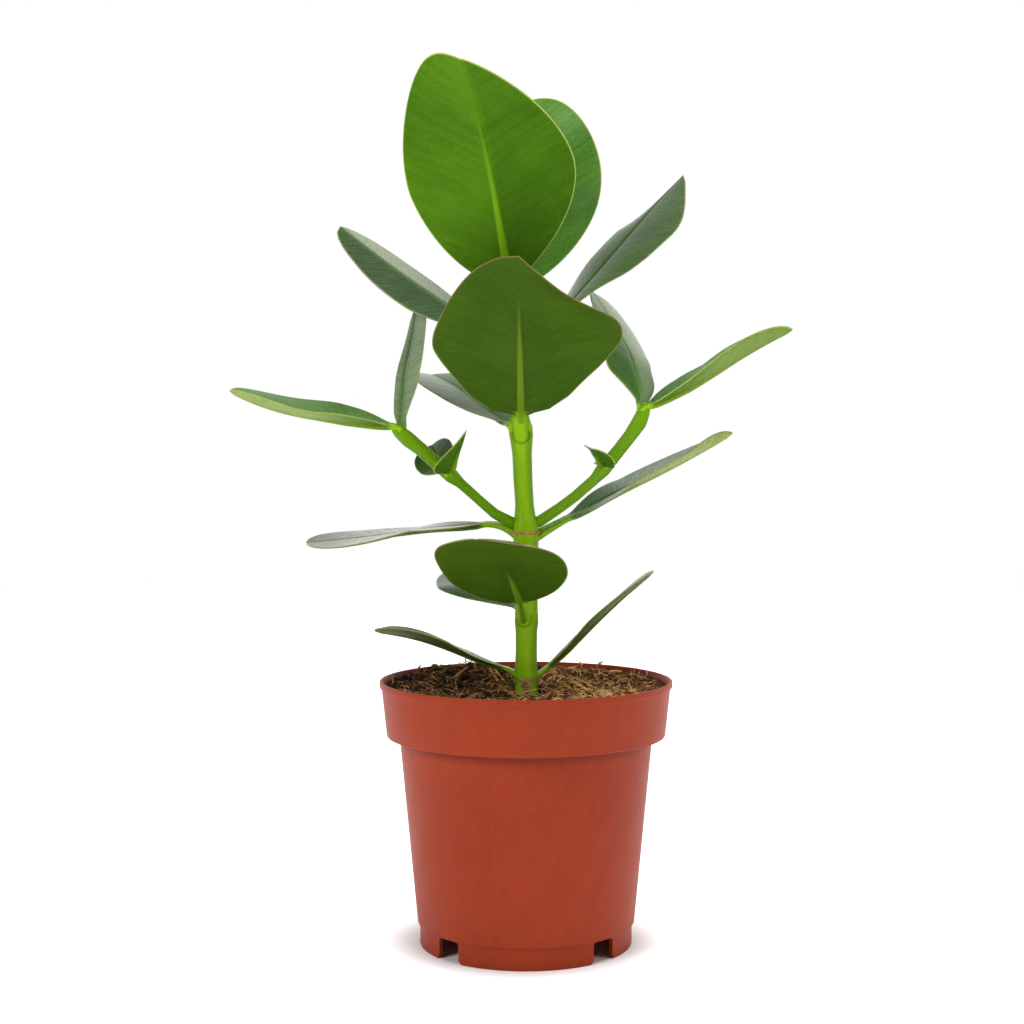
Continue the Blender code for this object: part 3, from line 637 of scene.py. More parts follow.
def crumbTree():
    sizes = {key: "Float" for key in ("Density", "Smallest", "Largest", "Lumps")}
    given, result = newTree("crumbs", {**sizes, "Seed": "Int", "Material": "Material"})
    ball = addNode("GeometryNodeMeshIcoSphere", {"Radius": 1.0, "Subdivisions": 2}).outputs["Mesh"]
    sockets = {0: (0, 0, 0), 1: (6.3, 6.3, 6.3), "Seed": given["Seed"]}
    turn = addNode("FunctionNodeRandomValue", sockets, data_type="FLOAT_VECTOR").outputs[0]
    share = calc("POWER", randomValue(0.0, 1.0, 5), 3.0)
    size = remap(share, 0, 1, given["Smallest"], given["Largest"])
    lumps = tintedCopies(given, ball, turn, vectorCalc("SCALE", (1.0, 0.8, 0.65), size))
    where = addNode("GeometryNodeInputPosition").outputs[0]
    lumps = rippled(lumps, where, 420.0, 2.0, (0.5, 0.5, 0.5), given["Lumps"])
    return painted(lumps, given, result)


def fibreTree():
    names = ("Density", "Shortest", "Longest", "Thickness", "Flatness", "Bend", "Lean")
    sizes = {key: "Float" for key in names}
    given, result = newTree("fibres", {**sizes, "Seed": "Int", "Sides": "Int", "Material": "Material"})
    line = addNode("GeometryNodeCurvePrimitiveLine", {"Start": (0, 0, -0.5), "End": (0, 0, 0.5)}).outputs[0]
    line = addNode("GeometryNodeResampleCurve", {"Curve": line, "Count": 9}).outputs[0]
    lying = 1.57  # a quarter turn
    tilts = [calc(operation, lying, given["Lean"]) for operation in ("SUBTRACT", "ADD")]
    sockets = {"X": randomValue(*tilts, given["Seed"]), "Z": randomValue(0.0, 6.3, 3)}
    turn = addNode("ShaderNodeCombineXYZ", sockets).outputs[0]
    fibres = tintedCopies(given, line, turn, randomValue(given["Shortest"], given["Longest"], 4))
    tint = addNode("GeometryNodeInputNamedAttribute", {"Name": "tint"}, data_type="FLOAT").outputs[0]
    apart = addNode("ShaderNodeCombineXYZ", {"Z": times(tint, 7.0)}).outputs[0]
    where = vectorCalc("ADD", addNode("GeometryNodeInputPosition").outputs[0], apart)
    fibres = rippled(fibres, where, 110.0, 1.0, (0.5, 0.5, 0.42), given["Bend"])
    sockets = {"Resolution": given["Sides"], "Radius": given["Thickness"]}
    ring = addNode("GeometryNodeCurvePrimitiveCircle", sockets).outputs[0]
    flat = addNode("ShaderNodeCombineXYZ", {"X": 1.0, "Y": given["Flatness"], "Z": 1.0}).outputs[0]
    ring = addNode("GeometryNodeTransform", {"Geometry": ring, "Scale": flat}).outputs[0]
    along = addNode("GeometryNodeSplineParameter").outputs["Factor"]
    fromMiddle = calc("ABSOLUTE", calc("SUBTRACT", times(along, 2.0), 1.0))
    taper = calc("SUBTRACT", 1.0, times(calc("POWER", fromMiddle, 2.5), 0.85))
    sockets = {"Curve": fibres, "Profile Curve": ring, "Scale": taper, "Fill Caps": True}
    return painted(addNode("GeometryNodeCurveToMesh", sockets).outputs[0], given, result)


# Draws whatever has strayed through the pot's wall back inside it
def keptInside(piece, limit):
    places = np.empty(len(piece.data.vertices) * 3, dtype=np.float32)
    piece.data.vertices.foreach_get("co", places)
    places = places.reshape(-1, 3)
    middle = potAxis[:2] * mm
    away = places[:, :2] - middle
    shrink = np.minimum(1, limit * mm / np.maximum(np.linalg.norm(away, axis=1), 1e-9))
    places[:, :2] = middle + away * shrink[:, None]
    piece.data.vertices.foreach_set("co", places.ravel())
    piece.data.update()
    return piece


peat, crumb, coir, straw = (soilMaterial(name) for name in ("peat", "crumb", "coir", "straw"))
mount(soilBed(peat), "soil", "soil")
crumbs, fibres = crumbTree(), fibreTree()
scatter = {
    # tree, how far from the axis and to the right it reaches, the tree's inputs
    "soilCrumbs": (crumbs, 55.5, 60, {
        "Density": 190000.0, "Smallest": 0.5 * mm, "Largest": 2.9 * mm, "Lumps": 2.4 * mm, "Seed": 4,
        "Material": crumb,
    }),
    "soilChips": (fibres, 53, 12, {
        "Density": 26000.0, "Shortest": 3 * mm, "Longest": 8 * mm, "Thickness": 1.4 * mm, "Flatness": 0.4,
        "Bend": 4 * mm, "Lean": 1.1, "Seed": 8, "Sides": 5, "Material": crumb,
    }),
    "soilFibres": (fibres, 54, 60, {
        "Density": 150000.0, "Shortest": 3 * mm, "Longest": 11 * mm, "Thickness": 0.16 * mm, "Flatness": 1.0,
        "Bend": 9 * mm, "Lean": 0.5, "Seed": 7, "Sides": 4, "Material": coir,
    }),
    "soilStraws": (fibres, 50, 60, {
        "Density": 15000.0, "Shortest": 5 * mm, "Longest": 12 * mm, "Thickness": 0.6 * mm, "Flatness": 0.4,
        "Bend": 4 * mm, "Lean": 0.35, "Seed": 11, "Sides": 6, "Material": straw,
    }),
}
for name, (tree, reach, right, values) in scatter.items():
    piece = keptInside(grown(name, tree, values, soilPatch(reach, right)), soil["scatterReach"])
    mount(piece, "soil")
    print(name, len(piece.data.polygons), "faces")

# Long straws that lie or stand where the photograph shows them
straws = {
    "steps": 14, "sides": 8, "reach": 0.6, "taper": 0.6, "flatness": 0.35, "unevenness": 0.25,
    # three places in plan with their lifts off the soil, and a width
    "laid": [
        ([(-17, 36, 3.5), (-12, 18, 1.5), (-8, -2, 1.0)], 0.9),
        ([(-14.5, 38, 3.0), (-10, 20, 2.0), (-5.5, 3, 0.8)], 0.8),
        ([(-13, 2, 0.6), (-9.5, 1, 1.6), (-8.5, 7, 2.4)], 1.5),
        ([(-40, 22, 2.0), (-38, 14, 1.0), (-36, 3, 0.6)], 0.8),
        ([(-31, 8, 0.6), (-29, 20, 1.6), (-25, 33, 3.4)], 1.0),
        ([(-26, 46, 0), (-26.3, 46, 3.5), (-25.5, 46, 7)], 0.5),
        ([(-55, 8, 0), (-55.5, 9, 2), (-55, 8, 4)], 0.7),
        ([(-45, 26, 0), (-46, 24, 2.5), (-44.5, 25, 5)], 0.7),
        ([(-22, 30, 0), (-21.5, 28, 3), (-22.5, 29, 6)], 0.6),
        ([(18, 20, 1.8), (22, 8, 1.2), (27, -5, 0.8)], 1.3),
        ([(15, 16, 1.4), (19, 5, 1.0), (23.5, -7, 0.6)], 1.1),
        ([(21, 24, 2.0), (24, 14, 1.5), (30, 2, 0.8)], 0.7),
        ([(24, 53, 0), (24.5, 52, 1.6), (23.5, 53, 3)], 1.0),
        ([(31, 50, 0), (32, 49, 1.5), (34, 49, 2.5)], 0.9),
        ([(33, 34, 1.0), (38, 33, 2.0), (43, 30, 1.2)], 0.9),
        ([(45, 24, 0), (45.5, 22, 3), (47, 22, 5.5)], 0.5),
        ([(50, 20, 0), (51, 19, 2), (50.5, 20, 4)], 0.5),
        ([(-4, -7, 0.6), (-1, -7.5, 4.0), (9, -3, 5.0)], 0.3),
        ([(9, 30, 0.6), (12, 28, 3), (16, 27, 3.5)], 0.6),
        ([(38, 10, 1.0), (33, 14, 2.2), (27, 16, 1.4)], 0.6),
    ],
}


def laidStraw(number, way, width):
    steps, sides = straws["steps"], straws["sides"]
    start, middle, end = np.array([(x, y, soilHeight(x, y) + lift) for x, y, lift in way])
    shares = np.linspace(0, 1, steps)[:, None]
    bend = 2 * middle - (start + end) / 2
    line = (1 - shares) ** 2 * start + 2 * shares * (1 - shares) * bend + shares ** 2 * end
    run = np.gradient(line, axis=0)
    run /= np.linalg.norm(run, axis=1)[:, None]
    points = []
    for k in range(steps):
        side = np.cross(run[k], (0.3, -0.9, 0.5))
        side /= np.linalg.norm(side)
        out = straws["flatness"] * np.cross(side, run[k])
        reach = straws["reach"] * width * (1 - straws["taper"] * abs(2 * shares[k, 0] - 1) ** 3)
        for j, turn in enumerate(ringAngles(sides)):
            uneven = 1 + straws["unevenness"] * noise.noise(Vector((k * 0.9, j * 0.8, number * 3.0)))
            points.append(line[k] + reach * uneven * (math.cos(turn) * side + math.sin(turn) * out))
    faces = bandFaces(steps, sides) + [tuple(range(sides)), tuple(range((steps - 1) * sides, steps * sides))]
    tint = 0.2 + 0.8 * math.sin(number * 2.4)
    return makePiece(f"laidStraw{number}", points, faces, [straw], facts={"tint": [tint] * len(points)})


mount(join("soilLaidStraws", [laidStraw(k, *row) for k, row in enumerate(straws["laid"])]), "soil")


# Stem and branches: x, height and radius of each station
stems = {
    "main_stem": [
        (0.0, 80.0, 4.4), (0.0, 103.0, 4.4), (0.0, 106.7, 4.5), (0.0, 109.6, 5.0), (0.0, 112.4, 4.6),
        (0.1, 120.0, 4.4), (0.2, 128.5, 4.5), (0.2, 131.8, 5.0), (0.2, 135.5, 4.7), (0.2, 148.0, 4.6),
        (0.1, 162.0, 5.0), (0.0, 167.0, 5.3), (-0.2, 171.3, 5.3), (-0.4, 174.6, 4.5), (-0.6, 179.9, 3.8),
        (-1.2, 190.0, 3.9), (-1.6, 200.4, 4.0), (-1.8, 205.3, 4.5), (-2.0, 209.0, 5.0), (-2.4, 212.5, 4.7),
        (-2.9, 217.9, 3.6), (-3.5, 230.0, 3.5), (-4.1, 241.5, 3.7), (-4.3, 245.0, 4.3), (-4.5, 249.0, 3.2),
        (-4.8, 255.5, 2.9), (-4.9, 258.5, 1.4),
    ],
    "left_branch": [
        (-1.5, 171.5, 2.3), (-5.3, 172.4, 2.3), (-12.7, 176.3, 2.1), (-18.8, 181.6, 1.95),
        (-27.0, 189.0, 2.1),
        (-30.5, 191.9, 3.1), (-33.5, 194.3, 2.8), (-43.3, 202.9, 2.8), (-48.5, 207.0, 3.2),
        (-52.5, 210.5, 2.6),
        (-54.4, 212.8, 1.2),
    ],
    "right_branch": [
        (1.5, 172.0, 2.3), (5.3, 173.0, 2.3), (13.9, 178.8, 2.15), (20.0, 183.3, 2.15), (28.2, 190.6, 2.2),
        (31.4, 194.3, 3.1), (34.4, 198.0, 2.8), (38.4, 202.9, 2.7), (42.9, 208.7, 2.8), (46.2, 213.6, 3.2),
        (48.2, 218.5, 2.7), (48.8, 221.8, 1.2),
    ],
}
bark = {
    "sides": 56, "step": 0.5, "soften": 7, "ripple": 0.07, "capRise": 0.5, "grainRun": 0.02,
    # how much deeper the branches' tone is all round, besides the painted shade on their sides
    "branchToneAndShade": 0.9,
    # height and half width of brown scars, and how dark each is
    "scars": [(108.8, 0.5, 0.9), (168.6, 0.9, 1.0)],
    # the old leaf scar at the front of the lowest joint: its top and foot, half widths there,
    # soft edge, how far it runs
    "frontScar": (108.8, 101.5, 3.4, 1.4, 0.7, 1.2),
    # painted shade in the round crease below a petiole's foot: how dark, how wide, its middle below the
    # petiole's top, its end, its fade
    "creaseShade": (0.6, 0.45, 1.8, 2.5, 1.5),
    "look": {
        "fresh": (0.28, 0.50, 0.005), "deep": (0.10, 0.24, 0.003), "line": (0.46, 0.66, 0.05),
        # colour of the painted shade in the creases below the petioles
        "dark": (0.030, 0.060, 0.002),
        "scar": (0.42, 0.27, 0.11), "scarDeep": (0.13, 0.065, 0.025),
        "specular": 0.08, "gloss": (0.3, 0.7, 0.30, 0.48), "relief": (0.00012, 0.5), "scarRelief": 2.0,
        # noises and readings turned into shares of a colour: from low, from high, to low, to high
        "streaks": (0.3, 0.7, 0.6, 1.0), "mottles": (0.4, 0.7, 0, 0.3), "lines": (0.52, 0.75, 0, 0.22),
        "furrows": (0.28, 0.45, 0.2, 0), "sideShadeAndToneShares": (0.35, 1.0, 0, 0.9), "scarRings": (0.4, 0.6),
        "scarWear": (0.25, 0.4),
    },
}


def barkSkin():
    look = bark["look"]
    material, surface = newMaterial("greenStem", look["specular"])
    turn, where = reading("grain", "Vector"), objectPlace()
    fibre = grain(turn, 3.0, 3, 0.5)
    mottle = grain(stretched(where, (1, 1, 0.4)), 110, 3)
    colour = blendColour(remap(grain(turn, 0.6, 2), *look["streaks"]), look["deep"], look["fresh"])
    # the last layer is painted shade on the stem's sides, and a deeper tone all round on branches and buds
    layers = [(mottle, "mottles", "deep"), (fibre, "lines", "line"), (fibre, "furrows", "deep"),
              (reading("sideShadeAndTone"), "sideShadeAndToneShares", "deep")]
    for value, change, paint in layers:
        colour = blendColour(remap(value, *look[change]), colour, look[paint])
    # Painted shade in the crease under each petiole's foot
    colour = blendColour(reading("creaseShade"), colour, look["dark"])
    rings = grain(stretched(where, (0.5, 0.5, 3)), 700, 3)
    brown = blendColour(remap(rings, *look["scarRings"]), look["scar"], look["scarDeep"])
    worn = times(reading("scar"), remap(grain(where, 420, 3), *look["scarWear"]))
    colour = blendColour(worn, colour, brown)
    relief = plus(fibre, times(worn, times(grain(where, 900, 3), look["scarRelief"])))
    gloss = remap(fibre, *look["gloss"])
    wire(surface, Base_Color=colour, Roughness=gloss, Normal=bumped(relief, *look["relief"]))
    return material


# How brown the main stem is at a point, from the stem's middle there
def scarred(aside, front, z):
    scar = max(depth * max(0.0, 1 - abs(z - height) / width) ** 0.5 for height, width, depth in bark["scars"])
    top, low, wide, narrow, soft, end = bark["frontScar"]
    share = (top - z) / (top - low)
    if front and 0 <= share <= end:
        inside = (wide + (narrow - wide) * share - abs(aside)) / soft
        scar = max(scar, min(1, max(0, inside)) * min(1, (end - share) * 5))
    return scar


# Painted shade on the bark just below a petiole's foot, where the two meet in a round crease: how dark it is
# at a point
def creaseShadeAt(point):
    share, spread, below, end, fade = bark["creaseShade"]
    dark = 0.0
    for leaf in leaves.values():
        x, height, _ = leaf["foot"]
        heading, width = math.radians(leaf["heading"][0]), leaf["petiole"][1]
        offset = point - np.array([x, 0, height + width - below])
        ahead = math.cos(heading) * offset[0] + math.sin(heading) * offset[1]
        if leaf["rooted"] < 1 or ahead < 0 or offset[2] >= end:
            continue
        aside = -math.sin(heading) * offset[0] + math.cos(heading) * offset[1]
        gap = math.hypot(aside, min(0, offset[2])) - width
        dark = max(dark, share * math.exp(-(gap / spread) ** 2) * min(1, (end - offset[2]) / fade))
    return dark


def sweptStem(name, stations, material):
    stations = np.array(stations)
    run = np.concatenate([[0], np.cumsum(np.linalg.norm(np.diff(stations[:, :2], axis=0), axis=1))])
    fine = np.arange(0, run[-1], bark["step"])
    x, z, radius = (softened(np.interp(fine, run, stations[:, k]), bark["soften"]) for k in range(3))
    tangent = np.stack([np.gradient(x, fine), np.gradient(z, fine)], -1)
    tangent /= np.linalg.norm(tangent, axis=1)[:, None]
    sides, least = bark["sides"], 0.0 if name == "main_stem" else bark["branchToneAndShade"]
    points, facts = [], {"grain": [], "scar": [], "sideShadeAndTone": [], "creaseShade": []}
    for k in range(len(fine)):
        side = np.array([tangent[k, 1], 0, -tangent[k, 0]])
        for a in ringAngles(sides):
            c, s = math.cos(a), math.sin(a)
            ripple = bark["ripple"] * noise.noise(Vector((c * 2.5, s * 2.5, fine[k] * 0.12 + len(name))))
            point = np.array([x[k], 0, z[k]]) + (c * side + s * np.array([0, 1, 0])) * (radius[k] + ripple)
            points.append(point)
            facts["grain"].append((c * 3, s * 3, fine[k] * bark["grainRun"]))
            facts["scar"].append(scarred(point[0] - x[k], s < 0, z[k]) if name == "main_stem" else 0.0)
            # painted shade, darker on the stem's left and right sides; branches and buds are also deeper all
            # round
            facts["sideShadeAndTone"].append(least + (1 - least) * abs(c))
            facts["creaseShade"].append(creaseShadeAt(point))
    faces = bandFaces(len(fine), sides)
    # rounded ends
    for end, toward in ((0, -1), (len(fine) - 1, 1)):
        rise = toward * bark["capRise"] * radius[end]
        points.append(np.array([x[end], 0, z[end]]) + rise * np.array([tangent[end, 0], 0, tangent[end, 1]]))
        facts["grain"].append((0, 0, fine[end] * bark["grainRun"]))
        for key in ("scar", "sideShadeAndTone", "creaseShade"):
            facts[key].append(0.0)
        faces += [(end * sides + j, end * sides + (j + 1) % sides, len(points) - 1) for j in range(sides)]
    return makePiece(name + "Fine", points, faces, [material], facts=facts)


stemSkin = barkSkin()

# Buds in the leaf joints
buds = {
    "aside": 3.5, "forward": 1.4, "narrow": 0.8, "tall": 1.7, "taper": 0.35,
    "cleft": 0.12, "cleftWidth": 0.12, "cleftFoot": -0.2, "scar": 0.9, "scarTop": 0.45, "sideShadeAndTone": 0.5,
    # x and height on the stem, side, radius
    "places": [(0.2, 135.0, 1, 1.7), (0.2, 135.0, -1, 1.7), (-2.2, 211.0, 1, 1.9), (-2.2, 211.0, -1, 1.9)],
}


def budPiece(number, x, height, side, radius):
    ball = bmesh.new()
    bmesh.ops.create_icosphere(ball, subdivisions=4, radius=1)
    points, facts = [], {"grain": [], "scar": [], "sideShadeAndTone": []}
    for vert in ball.verts:
        p = vert.co
        wide = radius * (1.0 if p.z < 0 else 1 - buds["taper"] * p.z ** 2)
        cleft = 1 - buds["cleft"] * math.exp(-(p.y / buds["cleftWidth"]) ** 2) * (p.z > buds["cleftFoot"])
        across = side * buds["aside"] + p.x * buds["narrow"] * wide * cleft
        points.append((x + across, p.y * wide - buds["forward"], height + p.z * radius * buds["tall"]))
        facts["grain"].append((p.x * 2, p.y * 2, p.z * 0.3 + number))
        facts["scar"].append(buds["scar"] * max(0, -p.z - buds["scarTop"]) / (1 - buds["scarTop"]))
        facts["sideShadeAndTone"].append(buds["sideShadeAndTone"])
    faces = [tuple(vert.index for vert in face.verts) for face in ball.faces]
    ball.free()
    return makePiece(f"bud{number}", points, faces, [stemSkin], facts=facts)


mount(join("stemBuds", [budPiece(k, *row) for k, row in enumerate(buds["places"])]), "stem")

# Papery cork where an old pair of leaves left its mark round the stem
cork = {"x": -0.1, "height": 168.6, "radius": 5.25, "thick": 0.5, "turns": 150, "sides": 8, "flat": 0.8}


def corkRing(name):
    points = []
    for a in ringAngles(cork["turns"]):
        place = Vector((math.cos(a), math.sin(a), 0))
        size = cork["thick"] * (0.55 + 0.9 * abs(noise.noise(place * 9)) + 0.5 * abs(noise.noise(place * 27)))
        rise = 0.55 * noise.noise(place * 3.1) + 0.35 * noise.noise(place * 14)
        for j, turn in enumerate(ringAngles(cork["sides"])):
            uneven = 0.15 * noise.noise(place * 30 + Vector((0, 0, j)))
            reach = cork["radius"] + size * cork["flat"] * math.cos(turn) + uneven
            height = cork["height"] + rise + size * math.sin(turn)
            points.append((cork["x"] + reach * math.cos(a), reach * math.sin(a), height))
    faces = bandFaces(cork["turns"], cork["sides"], closed=True)
    tints = [noise.noise(Vector(point)) * 2 for point in points]
    return makePiece(name, points, faces, [straw], facts={"tint": tints})


mount(corkRing("corkRing0"), "stem")


# Leaves. Each has a foot on its stem, a run of headings and slopes along the midrib,
# and two halves of its own form:
#   foot       x and height of the stem's joint, and how far out from it the petiole starts
#   heading    compass direction at foot and tip, 0 right, 90 back, 180 left, 270 front
#   rise       slope at the foot, where the blade starts, halfway and at the tip
#   roll       twist at the foot, halfway and at the tip
#   halves     widths of the left and right halves seen from the petiole on the upper side
#   left, right   place of the widest point, fullness of base, of tip, and bluntness,
#                 or a table of shares and widths
#   fold       how far the halves are folded up at the foot, halfway and at the tip
#   cup        extra fold towards the margins
#   petiole    share of the length, half width at the foot and where the blade starts
#   stalkThick   thickness of the petiole at the foot and where the blade starts
#   lean       how far each half is swept towards the tip
#   curl, curlFrom   extra curl of the two halves' tips in degrees, and where it starts
#   rooted     how far the petiole's foot runs on into the stem
#   tone       0 is an old dark leaf, 1 a fresh yellow green one
#   rust, ribFade   how rusty the rim is, and how soon the pale rib fades
#   aged       how brown and dull the blade has gone
#   stalkShade   how dark the middle of the petiole is
#   shade      painted shade: how much deeper the green of each half is painted
#   sheenAndBloom   how pale the upper side's two halves and the underside are, partly a waxy bloom and partly painted sheen
plainForm = (0.58, 1.0, 2.2, 0.5)
plainLeaf = {
    "roll": (0, 0, 0), "left": plainForm, "right": plainForm, "fold": (8, 8, 8), "cup": 0,
    "petiole": (0.12, 2.8, 1.6), "stalkThick": (3.2, 2.2), "lean": (0, 0), "tone": 0.2, "rust": 0.2,
    "ribFade": 1.1,
    "curl": (0, 0), "curlFrom": 0.8, "rooted": 1.0, "shade": (0, 0), "aged": 0.1, "stalkShade": 0.0,
    "sheenAndBloom": (0, 0, 0),
}
